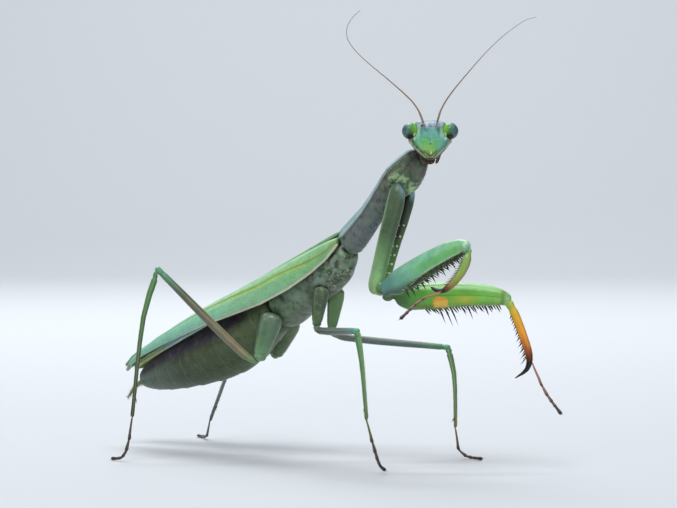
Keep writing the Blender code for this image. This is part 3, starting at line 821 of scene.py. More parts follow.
def far_coxa_colours(finish):
    along = finish.mask("along")
    inner = finish.ramp(
        along,
        (0.0, TEAL),
        (0.18, (56, 74, 46)),
        (0.5, (64, 96, 46)),
        (0.8, (92, 140, 62)),
        (1.0, (116, 170, 82)),
    )
    patch = along.fall(0.08, 0.17)
    black = finish.facing(176, 68).between(0.0, 0.2) * along.between(0.03, 0.07) * along.fall(0.44, 0.58)
    ridge = finish.mask("ridge") * along.between(0.3, 0.6)
    return finish.layers(
        inner, (patch, (150, 188, 200)), (black, (10, 10, 12)), (ridge * 0.5, (130, 176, 96))
    )


coxa_finishes = {
    "right": shell("near_coxa_shell", near_coxa_colours),
    "left": shell("far_coxa_shell", far_coxa_colours),
}
for side in SIDES:
    coxa = legs["fore_" + side]["coxa"]
    skin("fore_coxa_" + side, coxa, coxa_shape, coxa_finishes[side], "fore_leg", along=170, bury=0.5 * MM)


pearl = shell("pearl", lambda finish: (228, 236, 190), gloss=0.3)
BUMP_SHARES = (0.36, 0.46, 0.55, 0.63, 0.71, 0.79, 0.88)
BUMP_SINK = 0.03 * MM
for side, degrees, size in (("left", 108.0, 0.30 * MM), ("right", 60.0, 0.16 * MM)):
    spots = [legs["fore_" + side]["coxa"].on(share, degrees, BUMP_SINK) for share in BUMP_SHARES]
    feet, ways = [foot for foot, _ in spots], [way for _, way in spots]
    name = f"fore_coxa_{side}_bumps"
    plant(name, pearl, "fore_leg", feet, ways, size * 1.1, size * 0.5, facets=8, blunt=0.35)
print("bumps down each coxa:", len(BUMP_SHARES))

# %% [markdown]
# The femur is deepest in its first half. A pale ridge runs down its side to the knee, and below it the
# groove that holds the closed tibia is dark olive. The knee ends in two pale lobes.

# %% The knuckles and femora


def femur_shape(outer, inner):
    """The shape of a femur. Its lower ridges stand at these angles by the knee, closer at its root."""

    def shape(share, turn, points):
        angle = np.degrees(turn) % 360
        bottom = (outer + inner) / 2
        closer = 0.45 + 0.55 * smooth(share, 0.15, 0.55)
        from_bottom = (angle - bottom) / ((inner - outer) / 2 * closer)
        strength = smooth(share, 0.16, 0.30)
        ridges = hill(np.abs(from_bottom), 1.0, 0.16) * strength
        groove = fade(np.abs(from_bottom), 0.72, 0.95) * strength * fade(share, 0.9, 0.96)
        edge = facing(turn, 90, 14) * smooth(share, 0.04, 0.15)
        crease = hill(angle, bottom - (inner - outer) * 0.5 - 62, 3.5) * smooth(share, 0.2, 0.4)
        knee, lobe = hill(share, 0.93, 0.02), smooth(share, 0.93, 0.965)
        ridge = np.maximum(edge, ridges)
        root = fade(share, 0.0, 0.14)
        factor = 0.965 + 0.035 * ridge - 0.12 * groove - 0.05 * knee
        factor = factor + 0.02 * lobe - 0.03 * crease - 0.24 * root
        return factor, {
            "ridge": ridges, "edge": edge, "groove": groove, "lobe": lobe, "knee": knee, "crease": crease
        }

    return shape


def near_femur_colours(finish):
    along = finish.mask("along")
    side = finish.ramp(
        along,
        (0.0, (92, 138, 130)),
        (0.12, (100, 152, 138)),
        (0.35, (126, 188, 156)),
        (0.65, (132, 194, 146)),
        (0.9, (140, 200, 134)),
        (1.0, (170, 214, 170)),
    )
    upper = finish.facing(142, 44) * along.between(0.1, 0.3)
    green = finish.facing(208, 40) * along.between(0.3, 0.5) * along.fall(0.86, 0.94)
    belly = finish.facing(285, 66) * along.between(0.5, 0.2)
    spots = finish.noise(0.7 * MM, 2.0).between(0.45, 0.6)
    lobe, knee = finish.mask("lobe"), finish.mask("knee") * finish.facing(230, 100)
    return finish.layers(
        side,
        (upper * 0.6, (132, 192, 160)),
        (green * 0.6, (96, 178, 84)),
        (finish.noise(1.0 * MM, 3.0).between(0.5, 0.66) * 0.25, (84, 150, 120)),
        (belly * 0.8, (62, 78, 52)),
        (finish.mask("groove"), DARK_OLIVE),
        (finish.mask("groove") * spots * 0.6, (92, 112, 40)),
        ("edge", 0.5, (180, 214, 184)),
        ("ridge", 0.85, (186, 220, 176)),
        (lobe, (176, 218, 184)),
        (lobe * spots * 0.6, (96, 160, 130)),
        (knee * 0.5, (110, 150, 96)),
    )


def far_femur_colours(finish):
    along = finish.mask("along")
    side = finish.ramp(
        along,
        (0.0, (66, 96, 52)),
        (0.14, (86, 140, 64)),
        (0.3, (104, 178, 62)),
        (0.75, (118, 188, 72)),
        (0.92, (140, 196, 96)),
        (1.0, (164, 208, 134)),
    )
    yellow = along.near(0.60, 0.17) * finish.facing(212, 34)
    speckle = finish.noise(0.5 * MM, 2.0).between(0.3, 0.7, 0.75, 1.1)
    spot = (along.near(0.395, 0.115) * finish.facing(236, 66) * speckle).between(0.26, 0.52)
    stripe = finish.facing(133, 12) * along.between(0.15, 0.3)
    root = finish.facing(250, 30) * along.between(0.1, 0.3)
    lobe = finish.mask("lobe")
    return finish.layers(
        side,
        (finish.facing(112, 34) * 0.6, (140, 196, 132)),
        (finish.facing(165, 26) * 0.35, (84, 164, 60)),
        ("crease", 0.6, (56, 110, 40)),
        (stripe * 0.6, (170, 214, 150)),
        (root * along.between(0.4, 0.5, 1.0, 0.4) * 0.6, (118, 134, 54)),
        (finish.mask("groove"), OLIVE),
        (yellow * 0.8, (186, 190, 60)),
        (spot, finish.layers((228, 158, 52), (finish.facing(238, 34) * 0.8, (240, 196, 84)))),
        ("ridge", 0.5, (170, 208, 120)),
        (lobe * 0.8, (164, 208, 140)),
        (lobe * finish.noise(0.5 * MM).between(0.5, 0.56) * 0.6, (80, 146, 96)),
        ("knee", 0.7, (90, 120, 50)),
    )


def knuckle_colours(finish):
    return finish.layers(
        (104, 148, 92), (finish.facing(270, 90) * 0.5, OLIVE), (finish.noise(0.8 * MM) * 0.3, GREY_GREEN)
    )


femur_finishes = {
    "right": shell("near_femur_shell", near_femur_colours, wrinkles=0.5 * MM, gloss=0.34),
    "left": shell("far_femur_shell", far_femur_colours, wrinkles=0.5 * MM, gloss=0.34),
}
knuckle_finish = shell("knuckle_shell", knuckle_colours)
for side in SIDES:
    leg = legs["fore_" + side]
    node = "fore_trochanter_" + side
    skin(node, leg["trochanter"], None, knuckle_finish, "fore_leg", along=50, bury=0.5 * MM)
    shape = femur_shape(**FEMUR_RIDGES[side])
    sizes = {"along": 260, "around": 96, "cap": 0.5 * MM, "bury": 0.7 * MM}
    piece = skin("fore_femur_" + side, leg["femur"], shape, femur_finishes[side], "fore_leg", **sizes)
    print(side, "femur has", len(piece.data.polygons), "faces")

# %% [markdown]
# Each femur carries two rows of spines. The long ones were measured; between them stand many short ones,
# spaced evenly and leaning towards the knee. Their tips are horn black and their feet pale.

# %% The spines of the femora
spine_finish = shell(
    "spine_shell",
    lambda finish: finish.ramp(
        finish.mask("tip"), (0.0, (150, 184, 128)), (0.22, (112, 124, 92)), (0.45, HORN)
    ),
    gloss=0.22,
)


def comb(tube, shares, degrees, lean, sink=0.05 * MM):
    """Feet along a tube, and ways that lean from straight out towards the tube's end."""
    feet, ways = [], []
    for share in shares:
        foot, out = tube.on(share, degrees, sink)
        way = Vector(tube.ways[int(share * (len(tube.line) - 1))])
        feet.append(foot)
        ways.append(out + way * lean)
    return feet, ways


TOOTH_SHARES = spaced(0.26, 0.64, 26)
TEETH = {"right": (0.95, 0.60), "left": (1.20, 0.75)}
for side in SIDES:
    femur = legs["fore_" + side]["femur"]
    feet, ways, lengths = spines_of(femur.solid)
    name = f"fore_femur_{side}_spines"
    plant(name, spine_finish, "fore_leg", feet, ways, lengths, 0.15 * MM, bend=0.9, steps=7)
    print(side, "femur carries", len(feet), "measured spines")
    for row, degrees in FEMUR_RIDGES[side].items():
        feet, ways = comb(femur, TOOTH_SHARES, degrees + 4 if row == "outer" else degrees - 4, 0.8)
        lengths = [TEETH[side][0 if k % 3 == 0 else 1] * MM for k in range(len(feet))]
        name = f"fore_femur_{side}_{row}_teeth"
        plant(name, spine_finish, "fore_leg", feet, ways, lengths, 0.12 * MM, bend=0.6)

# %% [markdown]
# The tibia is a blade with a comb under it, and ends in a long hooked claw, black as horn. On the far leg it
# runs from yellow through orange to rust.

# %% The tibiae


def tibia_shape(share, turn, points):
    edges = np.maximum(facing(turn, 90, 30), facing(turn, 270, 26))
    knee = 0.16 * hill(share, 0.05, 0.03)
    return 0.93 + 0.07 * edges - knee, {}


NEAR_SHIN_INNER = 90.0


def near_tibia_colours(finish):
    along = finish.mask("along")
    base = finish.ramp(
        along,
        (0.0, (140, 178, 104)),
        (0.35, (150, 176, 84)),
        (0.6, (150, 132, 76)),
        (0.70, (110, 66, 40)),
        (0.78, HORN),
    )
    inner = finish.facing(NEAR_SHIN_INNER, 60) * along.fall(0.55, 0.65)
    outer = finish.facing(NEAR_SHIN_INNER - 180, 52) * along.fall(0.66, 0.72) * along.between(0.02, 0.2)
    return finish.layers(base, (inner * 0.7, (130, 184, 92)), (outer, (176, 112, 70)))


def far_tibia_colours(finish):
    along = finish.mask("along")
    base = finish.ramp(
        along,
        (0.0, (160, 194, 70)),
        (0.08, (206, 180, 50)),
        (0.22, (232, 166, 34)),
        (0.42, (228, 138, 28)),
        (0.56, (182, 92, 34)),
        (0.68, (96, 44, 26)),
        (0.74, HORN),
    )
    dark = finish.facing(90, 18) * along.fall(0.6, 0.7)
    return finish.layers(
        base,
        (dark * 0.5, RUST),
        (finish.facing(130, 40) * along.between(0.5, 0.62, 0.3, 0.0), (244, 196, 90)),
    )


tibia_finishes = {
    "right": shell("near_tibia_shell", near_tibia_colours),
    "left": shell("far_tibia_shell", far_tibia_colours),
}
SHIN_TEETH = {"right": 96.0, "left": 262.0}
comb_finish = shell(
    "comb_shell",
    lambda finish: finish.ramp(finish.mask("tip"), (0.0, (150, 110, 60)), (0.35, (60, 40, 30)), (0.6, HORN)),
    gloss=0.22,
)
for side in SIDES:
    tibia = legs["fore_" + side]["tibia"]
    sizes = {"along": 220, "around": 48, "cap": 0.3 * MM, "bury": 0.5 * MM}
    skin("fore_tibia_" + side, tibia, tibia_shape, tibia_finishes[side], "fore_shin", **sizes)
    feet, ways, lengths = spines_of(tibia.solid, 0.3, 0.1, 0.08)
    print(side, "tibia carries", len(feet), "measured spines")
    if feet:
        name = f"fore_tibia_{side}_comb"
        plant(name, comb_finish, "fore_shin", feet, ways, lengths, 0.085 * MM, bend=0.8)
    shares = spaced(0.13, 0.52, 16)
    feet, ways = comb(tibia, shares, SHIN_TEETH[side], 0.9)
    lengths = [(0.35 + 0.45 * share) * MM for share in shares]
    name = f"fore_tibia_{side}_teeth"
    plant(name, comb_finish, "fore_shin", feet, ways, lengths, 0.10 * MM, bend=0.6)

# %% [markdown]
# ## Walking legs
#
# The four walking legs are thin and ridged. Each has a stout coxa, a straight femur with two small lobes at
# the knee, and a tibia that ends in a pair of spurs. The same measuring serves all of them.

# %% Measure the walking legs
for leg in ("mid", "hind"):
    for side in SIDES:
        name = f"{leg}_{{}}_{side}"
        coxa = tube(name.format("coxa"), Solid(name.format("coxa")).top(), AHEAD)
        femur = tube(name.format("femur"), coxa.line[-1], UP, spined=True)
        tibia = tube(name.format("tibia"), femur.line[-1], UP, spined=True)
        foot = tube(name.format("tarsus"), tibia.line[-1], UP)
        legs[f"{leg}_{side}"] = {"coxa": coxa, "femur": femur, "tibia": tibia, "tarsus": foot}
        print(leg, side, "mm:", {part: round(t.length / MM, 1) for part, t in legs[f"{leg}_{side}"].items()})

# %% [markdown]
# Ridges run down the whole leg, so the skin is drawn in between them. The knee has a waist before its lobes.

# %% Shapes of the walking legs


def walking_coxa_shape(share, turn, points):
    seam = facing(turn, 60, 12) + facing(turn, 190, 12) + facing(turn, 300, 12)
    waist = 0.10 * hill(share, 0.88, 0.035)
    return 0.975 + 0.025 * seam - waist, {"ridge": seam}


def walking_femur_shape(share, turn, points):
    rib = 0.5 + 0.5 * np.cos(5 * (turn - math.pi / 2))
    knee = hill(share, 0.935, 0.014)
    lobe = smooth(share, 0.93, 0.955)
    hip = hill(share, 0.07, 0.016)
    factor = 0.95 + 0.05 * rib - 0.16 * knee - 0.12 * hip
    return factor + 0.02 * lobe, {"ridge": rib, "lobe": lobe, "knee": knee, "hip": smooth(share, 0.09, 0.06)}


def walking_tibia_shape(share, turn, points):
    rib = 0.5 + 0.5 * np.cos(4 * (turn - math.pi / 4))
    neck = 0.24 * hill(share, 0.03, 0.012)
    end = 0.06 * hill(share, 0.97, 0.02)
    slim = 0.02 + 0.06 * smooth(share, 0.1, 0.4)
    return 0.94 - slim + 0.06 * rib - neck + end, {"ridge": rib}


waist = walking_femur_shape(np.array(0.935), np.array(0.0), None)[0]
print("share of the reach that a walking femur keeps at its knee:", round(float(waist), 2))

# %% [markdown]
# No two of these legs have quite the same colours: those nearer to us are greener or browner, those beyond
# greyer. Each leg has its row of colours for the coxa, down the femur and down the tibia.

# %% Colours of the walking legs
LEG_COLOURS = {
    "mid_right": {
        "coxa": ((82, 98, 78), (70, 86, 64), (84, 110, 72)),
        "femur": ((94, 124, 88), (92, 98, 90), (96, 108, 102), (80, 138, 120)),
        "tibia": ((94, 160, 92), (108, 166, 98), (106, 152, 92), (116, 126, 66)),
    },
    "mid_left": {
        "coxa": ((116, 142, 92), (98, 138, 80), (84, 122, 66)),
        "femur": ((140, 130, 104), (108, 114, 108), (96, 112, 110), (82, 140, 98)),
        "tibia": ((80, 124, 70), (80, 118, 64), (84, 110, 72), (134, 128, 60)),
    },
    "hind_right": {
        # The pale green last colour of this coxa is a painted highlight at its lower end.
        "coxa": ((98, 124, 104), (86, 118, 92), (122, 166, 118)),
        "femur": ((104, 136, 88), (142, 124, 96), (100, 98, 80), (92, 140, 106)),
        "tibia": ((96, 142, 84), (86, 124, 66), (80, 92, 58), (70, 64, 46)),
    },
    "hind_left": {
        "coxa": ((116, 132, 94), (78, 102, 66), (74, 100, 60)),
        "femur": ((84, 106, 74), (96, 100, 84), (92, 102, 88), (84, 122, 98)),
        "tibia": ((96, 112, 96), (104, 116, 108), (108, 120, 114), (88, 94, 90)),
    },
}


def leg_finish(name, part, colours):
    """A leg part's finish: colours down it, a pale ridge, and what belongs to that part."""

    def paint(finish):
        along = finish.mask("along")
        stops = [(k / (len(colours) - 1), colour) for k, colour in enumerate(colours)]
        if part == "femur":
            stops = [(0.04, colours[0]), (0.14, colours[1]), (0.72, colours[2]), (0.9, colours[3])]
        base = finish.ramp(along, *stops)
        ridge = finish.mask("ridge").between(0.55, 1.0)
        under = finish.facing(270, 80)
        layers = [(under * 0.35, DARK_OLIVE), (ridge * 0.2, PALE_TEAL)]
        if part == "coxa":
            layers = [(under * 0.3, DARK_OLIVE), ("ridge", 0.15, (170, 190, 150))]
            layers.append((finish.noise(0.6 * MM, 3.0).between(0.5, 0.6) * 0.4, (110, 134, 96)))
            layers.append(
                (along.near(0.08, 0.09) * finish.noise(0.5 * MM).between(0.5, 0.6) * 0.4, (164, 176, 148))
            )
        if part == "femur":
            lobe, knee = finish.mask("lobe"), finish.mask("knee")
            layers += [(lobe * 0.7, (102, 172, 132)), (knee * under, OLIVE), ("hip", 0.6, (124, 156, 104))]
        if part == "tibia":
            layers.append((finish.facing(180, 22) * along.fall(0.75, 0.95) * 0.5, (190, 224, 150)))
        return finish.layers(base, *layers)

    return shell(f"{name}_{part}_shell", paint, pores=0.12 * MM, gloss=0.36)


print("legs with colours of their own:", list(LEG_COLOURS))

# %% Dress the walking legs
SPUR_SHARE, SPUR_SIDES = 0.955, (225, 315)
SHAPES = {"coxa": walking_coxa_shape, "femur": walking_femur_shape, "tibia": walking_tibia_shape}
for leg, colours in LEG_COLOURS.items():
    which, side = leg.split("_")
    for part, shape in SHAPES.items():
        node = f"{which}_{part}_{side}"
        bury = {"coxa": 0.0, "femur": 0.1 if which == "hind" else 0.5, "tibia": 0.35}[part] * MM
        finish = leg_finish(leg, part, colours[part])
        sizes = {"along": 200, "around": 50, "cap": 0.3 * MM, "bury": bury}
        skin(node, legs[leg][part], shape, finish, "walking_leg", **sizes)
    tibia = legs[leg]["tibia"]
    measured, along, _ = spines_of(tibia.solid, 0.3, 0.08)
    print(leg, "has", len(measured), "measured spurs")
    spots = [comb(tibia, (SPUR_SHARE,), degrees, 1.0) for degrees in SPUR_SIDES]
    feet, ways = [foot for (foot,), _ in spots], [way for _, (way,) in spots]
    if measured:
        feet, ways = measured, along
    plant(f"{leg}_spurs", comb_finish, "walking_leg", feet, ways, 0.75 * MM, 0.07 * MM, bend=0.5)

# %% [markdown]
# ## Feet
#
# A foot has five joints in a row. Each widens to its end, with a small lobe under it, and the last carries
# two curved claws. The solid is thicker than a real foot, so the skin stays well inside it.

# %% The feet
FOOT_JOINTS = (0.42, 0.19, 0.13, 0.10, 0.16)
JOINT_ENDS = np.cumsum(FOOT_JOINTS) * 0.94


def foot_shape(share, turn, points):
    start = np.zeros_like(share)
    end = np.full_like(share, JOINT_ENDS[0])
    for joint_end, next_end in zip(JOINT_ENDS, [*JOINT_ENDS[1:], 1.0]):
        past = share > joint_end
        start, end = np.where(past, joint_end, start), np.where(past, next_end, end)
    within = np.clip((share - start) / (end - start), 0, 1)
    swell = within**2.2 * fade(within, 0.93, 1.0)
    lobe = facing(turn, 270, 60) * hill(within, 0.9, 0.12)
    last = smooth(share, JOINT_ENDS[3], JOINT_ENDS[3] + 0.04)
    bulb = hill(share, JOINT_ENDS[4] - 0.05, 0.05)
    factor = 0.56 + 0.16 * smooth(share, 0.35, 0.5) + 0.16 * swell + 0.26 * lobe * (1 - last) + 0.16 * bulb
    factor = factor - 0.10 * hill(within, 0.0, 0.06) * smooth(share, 0.02, 0.05)
    return np.minimum(factor, 0.97), {
        "joint": hill(within, 0.97, 0.12) + hill(within, 0.0, 0.05), "last": last
    }


def foot_colours(first, middle, last):
    def paint(finish):
        base = finish.ramp(finish.mask("along"), (0.0, first), (0.4, middle), (0.8, last))
        return finish.layers(base, ("joint", 0.7, (52, 38, 34)), ("last", 0.6, HORN))

    return paint


FOOT_COLOURS = {
    "fore_right": ((188, 132, 104), (140, 104, 86), (104, 78, 68)),
    "fore_left": ((192, 134, 110), (150, 114, 100), (106, 88, 78)),
    "mid_right": ((122, 128, 66), (96, 80, 62), (76, 54, 52)),
    "mid_left": ((132, 118, 62), (96, 82, 66), (84, 66, 60)),
    "hind_right": ((84, 76, 54), (86, 74, 64), (76, 64, 60)),
    "hind_left": ((104, 104, 100), (104, 104, 108), (96, 96, 104)),
}


CLAW_SPREAD = math.tan(math.radians(24.0))


def claw_pair(tube):
    """The feet and ways of two claws at a foot's end, set apart by an angle."""
    place, way = Vector(tube.line[-8]), Vector(tube.ways[-4])
    side, up = Vector(tube.sides[-4]), Vector(tube.ups[-4])
    feet, ways = [], []
    for sign in (-1, 1):
        feet.append(place + side * sign * 0.05 * MM)
        ways.append(way + side * sign * CLAW_SPREAD + up * 0.1)
    return feet, ways


for leg, colours in FOOT_COLOURS.items():
    which, side = leg.split("_")
    foot, node = legs[leg]["tarsus"], f"{which}_tarsus_{side}"
    finish = shell(node + "_shell", foot_colours(*colours), pores=0.08 * MM, gloss=0.4)
    sizes = {"along": 260, "around": 28, "cap": 0.12 * MM, "end": 0.955, "bury": 0.25 * MM}
    skin(node, foot, foot_shape, finish, "foot", **sizes)
    feet, ways = claw_pair(foot)
    plant(node + "_claws", horn, "foot", feet, ways, 0.62 * MM, 0.055 * MM, bend=-1.6, steps=7)
    print(node, "joints end at", [round(float(end * foot.length / MM), 1) for end in JOINT_ENDS], "mm")

# %% [markdown]
# ## Trunk
#
# The neck shield is a long saddle. Its pale lips overhang the grey flanks from which the coxae hang, and a
# low keel runs down its middle. The wings' segment behind it is a box of plates, and the abdomen is a row
# of rings that slide into each other. All three are tubes, measured from front to back.

# %% Measure the trunk
BODY_PITCH = math.radians(25.2)
body_ahead = Vector((math.cos(BODY_PITCH), 0.0, math.sin(BODY_PITCH)))
body_left = Vector((0.0, 1.0, 0.0))
body_up = body_ahead.cross(body_left)
trunk = {
    "neck": tube("neck", head_solid.middle, UP),
    "prothorax": tube("prothorax", head_solid.middle, UP, count=150, around=96),
    "abdomen": tube("abdomen", Solid("prothorax").middle, UP, count=150, around=96),
}
solid = Solid("pterothorax")
trunk["pterothorax"] = Tube(solid, straight(solid, -body_ahead), UP, around=96)
print("trunk, mm:", {name: round(t.length / MM, 1) for name, t in trunk.items()})

# %% The neck shield
LIP = 12.0


def prothorax_shape(share, turn, points):
    angle = np.degrees(turn)
    below = np.minimum(np.abs(angle - 90), np.abs(angle - 450)) - (90 - LIP) + 16 * fade(share, 0.1, 0.8)
    under = smooth(below, -1.0, 3.5)
    lip = hill(below, -4.0, 5.0)
    keel = facing(turn, 90, 7)
    cross = hill(share, 0.30, 0.012) * (1 - under)
    saddle = 0.05 * facing(turn, 90, 50) * (1 - keel)
    pits = 0.012 * np.cos(share * 180 + 3 * np.cos(turn * 2)) * smooth(below, 6, 16)
    seam = hill(below, 44 + 6 * np.sin(share * 9), 3) * under * fade(share, 0.25, 0.5)
    bulge = hill(share, 0.24, 0.10) * smooth(below, 6, 40)
    folds = 0.5 + 0.5 * np.cos(share * 150 + 5 * np.sin(turn * 3 + share * 20))
    flank = 0.10 * under * (1 - 0.6 * smooth(below, 4, 50))
    factor = 0.985 + 0.015 * lip - flank - saddle - 0.05 * cross - 0.03 * seam
    factor = factor + 0.02 * bulge - 0.012 * folds * smooth(below, 20, 50) * smooth(share, 0.35, 0.6)
    masks = {
        "under": under, "lip": lip, "keel": keel, "cross": cross, "seam": seam, "below": below, "bulge": bulge
    }
    return factor + pits, masks


def prothorax_colours(finish):
    along, under, below = finish.mask("along"), finish.mask("under"), finish.mask("below")
    flank = finish.ramp(
        along,
        (0.0, (58, 60, 48)),
        (0.12, (88, 94, 80)),
        (0.3, (94, 108, 80)),
        (0.5, (100, 114, 106)),
        (0.8, (106, 118, 122)),
        (1.0, (106, 122, 108)),
    )
    mottle = finish.noise(0.9 * MM, 4.0)
    dark_line = under * below.fall(0.0, 12.0)
    back = finish.ramp(along, (0.0, (120, 146, 158)), (0.5, (120, 154, 160)), (1.0, (112, 146, 128)))
    rim = below.between(-46.0, -14.0) * along.between(0.88, 1.0, 1.0, 0.2)
    coxal = finish.mask("bulge").between(0.25, 0.7)
    # Pale blotches on the coxal bulges: partly pale markings, partly painted highlights.
    blotch_and_highlight = finish.noise(0.8 * MM, 4.0).between(0.44, 0.60)
    patches = finish.noise(1.6 * MM, 3.0)
    return finish.layers(
        flank,
        (mottle.between(0.5, 0.66) * 0.55, (122, 126, 108)),
        (patches.between(0.52, 0.62) * 0.5, (96, 88, 98)),
        (patches.between(0.46, 0.38) * 0.5, (84, 110, 84)),
        (mottle.between(0.46, 0.34) * 0.65, (50, 56, 52)),
        (coxal * 0.55, (84, 116, 70)),
        (coxal * blotch_and_highlight * 0.9, (162, 194, 142)),
        (coxal * finish.noise(0.6 * MM, 4.0).between(0.47, 0.34) * 0.75, (44, 58, 38)),
        ("seam", 0.7, DARK_OLIVE),
        (dark_line * 0.6, (48, 60, 60)),
        (
            1 - under,
            finish.layers(
                back, (rim, (150, 184, 194)), ("lip", 0.7, (188, 196, 182)), ("keel", 0.6, PALE_TEAL)
            ),
        ),
        ("cross", 0.7, GREY_GREEN),
    )


finish = shell("neck_shield_shell", prothorax_colours, wrinkles=0.35 * MM, gloss=0.42)
sizes = {"along": 240, "around": 128, "cap": 0.8 * MM, "bury": 0.3 * MM}
skin("prothorax", trunk["prothorax"], prothorax_shape, finish, "thorax", **sizes)
tooth_shares = spaced(0.06, 0.86, 46)
for side, degrees in {"right": LIP + 3, "left": 177 - LIP}.items():
    feet, ways = comb(trunk["prothorax"], tooth_shares, degrees, 0.5, 0.02 * MM)
    name = f"neck_shield_{side}_teeth"
    plant(name, pearl, "thorax", feet, ways, 0.11 * MM, 0.045 * MM, facets=6, steps=3, blunt=0.2)

neck_finish = shell(
    "neck_skin", lambda finish: finish.layers((96, 96, 84), (finish.mask("fold"), OLIVE)), gloss=0.5
)


def neck_shape(share, turn, points):
    fold = 0.5 + 0.5 * np.cos(share * 52)
    return 0.95 - 0.05 * fold, {"fold": fold}


skin("neck", trunk["neck"], neck_shape, neck_finish, "thorax", along=120, around=56, bury=0.5 * MM)
print("teeth along each lip of the shield:", len(tooth_shares))

# %% [markdown]
# The wings' segment has a plate for each pair of wings and legs, with deep seams between them. The seams are
# slanting lines across the skin, where it is drawn in.

# %% The wings' segment
SEAMS = ((0.16, 0.08, 0.020), (0.42, 0.10, 0.022), (0.76, -0.06, 0.020))


def pterothorax_shape(share, turn, points):
    drop = -np.sin(turn)
    seam = sum(hill(share - slant * drop, place, width) for place, slant, width in SEAMS)
    level = np.degrees(np.arcsin(np.clip(drop, -1, 1)))
    rail = hill(level + 30 * share, 24, 4) * fade(share, 0.3, 0.42)
    lump = hill(share, 0.30, 0.07) * hill(level, 20, 26)
    seam = np.clip(seam * (0.6 + 0.4 * np.cos(share * 9 + drop * 5)) + 0.7 * rail, 0, 1)
    dome = 0.02 * np.cos(share * 40) * np.cos(turn * 3)
    return 0.965 - 0.05 * seam + dome * (1 - seam) * 0.5 + 0.02 * lump, {
        "seam": seam, "drop": drop, "lump": lump
    }


def pterothorax_colours(finish):
    along, drop = finish.mask("along"), finish.mask("drop")
    plate = finish.ramp(
        along,
        (0.0, (108, 126, 108)),
        (0.3, (118, 138, 118)),
        (0.46, (100, 120, 96)),
        (0.6, (118, 142, 118)),
        (1.0, (98, 116, 88)),
    )
    mottle = finish.noise(0.75 * MM, 5.0)
    green = finish.noise(2.2 * MM, 2.0).between(0.48, 0.6)
    pearls = finish.noise(0.5 * MM, 1.0).between(0.67, 0.71) * along.fall(0.1, 0.45)
    return finish.layers(
        plate,
        (green * 0.65, (88, 128, 84)),
        (mottle.between(0.5, 0.60) * along.between(0.4, 0.5, 0.7, 0.3), (138, 160, 136)),
        (mottle.between(0.48, 0.38) * along.between(0.4, 0.5, 0.8, 0.4), (46, 56, 40)),
        ("lump", 0.5, (116, 146, 122)),
        (drop.between(0.5, 0.95) * 0.4, (84, 80, 66)),
        (pearls * 0.6, CREAM),
        ("seam", 0.6, (42, 50, 36)),
    )


finish = shell("wing_segment_shell", pterothorax_colours, wrinkles=0.4 * MM, gloss=0.42)
sizes = {"along": 220, "around": 128, "cap": 0.6 * MM, "bury": 0.4 * MM}
piece = skin("pterothorax", trunk["pterothorax"], pterothorax_shape, finish, "thorax", **sizes)
print("wings' segment has", len(piece.data.polygons), "faces")

# %% [markdown]
# Each ring of the abdomen is widest at its hind edge and slips over the next, so the skin rises slowly and
# steps down. A soft fold of darker skin joins the plates of the back to those of the belly.

# %% The abdomen
RING_EDGES = (0.10, 0.23, 0.36, 0.49, 0.61, 0.72, 0.82, 0.90)


def abdomen_shape(share, turn, points):
    lean = share + 0.012 * np.cos(turn)
    rise, edge = np.zeros_like(share), np.zeros_like(share)
    for low, high in zip((-0.02, *RING_EDGES), (*RING_EDGES, 1.05)):
        within = (lean - low) / (high - low)
        inside = (within >= 0) & (within < 1)
        rise = np.where(inside, within**1.5 * fade(within, 0.975, 1.0), rise)
        edge = edge + hill(lean, high, 0.006)
    angle = (np.degrees(turn) + 180) % 360 - 180
    fold = hill(np.where(angle > 90, 180 - angle, angle), 26, 17)
    crease = fold * (0.5 + 0.5 * np.cos(share * 260)) * 0.12
    keel = facing(turn, 270, 10)
    factor = 0.955 + 0.04 * rise - 0.05 * fold - 0.03 * crease + 0.01 * keel
    return factor, {"fold": fold, "edge": edge, "keel": keel}


def abdomen_colours(finish):
    along, fold, edge = finish.mask("along"), finish.mask("fold"), finish.mask("edge")
    belly = finish.ramp(
        along,
        (0.0, (98, 116, 76)),
        (0.2, (70, 88, 50)),
        (0.6, (55, 70, 43)),
        (0.9, (84, 102, 88)),
        (1.0, (98, 114, 100)),
    )
    mottle = finish.noise(0.8 * MM, 4.0)
    flecks = finish.noise(0.5 * MM, 2.0).between(0.56, 0.66)
    veins = finish.noise(1.6 * MM, 5.0, (1, 1, 3)).near(0.5, 0.03)
    return finish.layers(
        belly,
        (mottle.between(0.5, 0.66) * 0.45, (86, 96, 70)),
        (mottle.between(0.46, 0.34) * 0.4, (44, 52, 40)),
        (veins * 0.15, (120, 134, 104)),
        (edge * 0.25, (108, 126, 92)),
        (fold * along.between(0.04, 0.16), PURPLE),
        (fold * flecks * 0.5, (112, 84, 92)),
        (finish.facing(90, 50), (96, 130, 84)),
        ("keel", 0.3, (104, 120, 92)),
    )


finish = shell("abdomen_shell", abdomen_colours, pores=0.2 * MM, wrinkles=0.5 * MM, gloss=0.45)
sizes = {"along": 420, "around": 120, "cap": 0.7 * MM, "bury": 0.5 * MM}
piece = skin("abdomen", trunk["abdomen"], abdomen_shape, finish, "abdomen", **sizes)
print("abdomen has", len(piece.data.polygons), "faces")

# %% [markdown]
# Two short jointed feelers, the cerci, stand at the abdomen's end.

# %% The cerci


def cercus_shape(share, turn, points):
    joint = 0.5 + 0.5 * np.cos(share * 2 * math.pi * 11)
    return 0.88 - 0.3 * smooth(share, 0.5, 1.0) - 0.14 * joint, {"joint": joint}


def cercus_colours(finish):
    base = finish.ramp(finish.mask("along"), (0.0, (116, 142, 84)), (1.0, (136, 142, 104)))
    return finish.layers(base, ("joint", 0.5, BROWN))


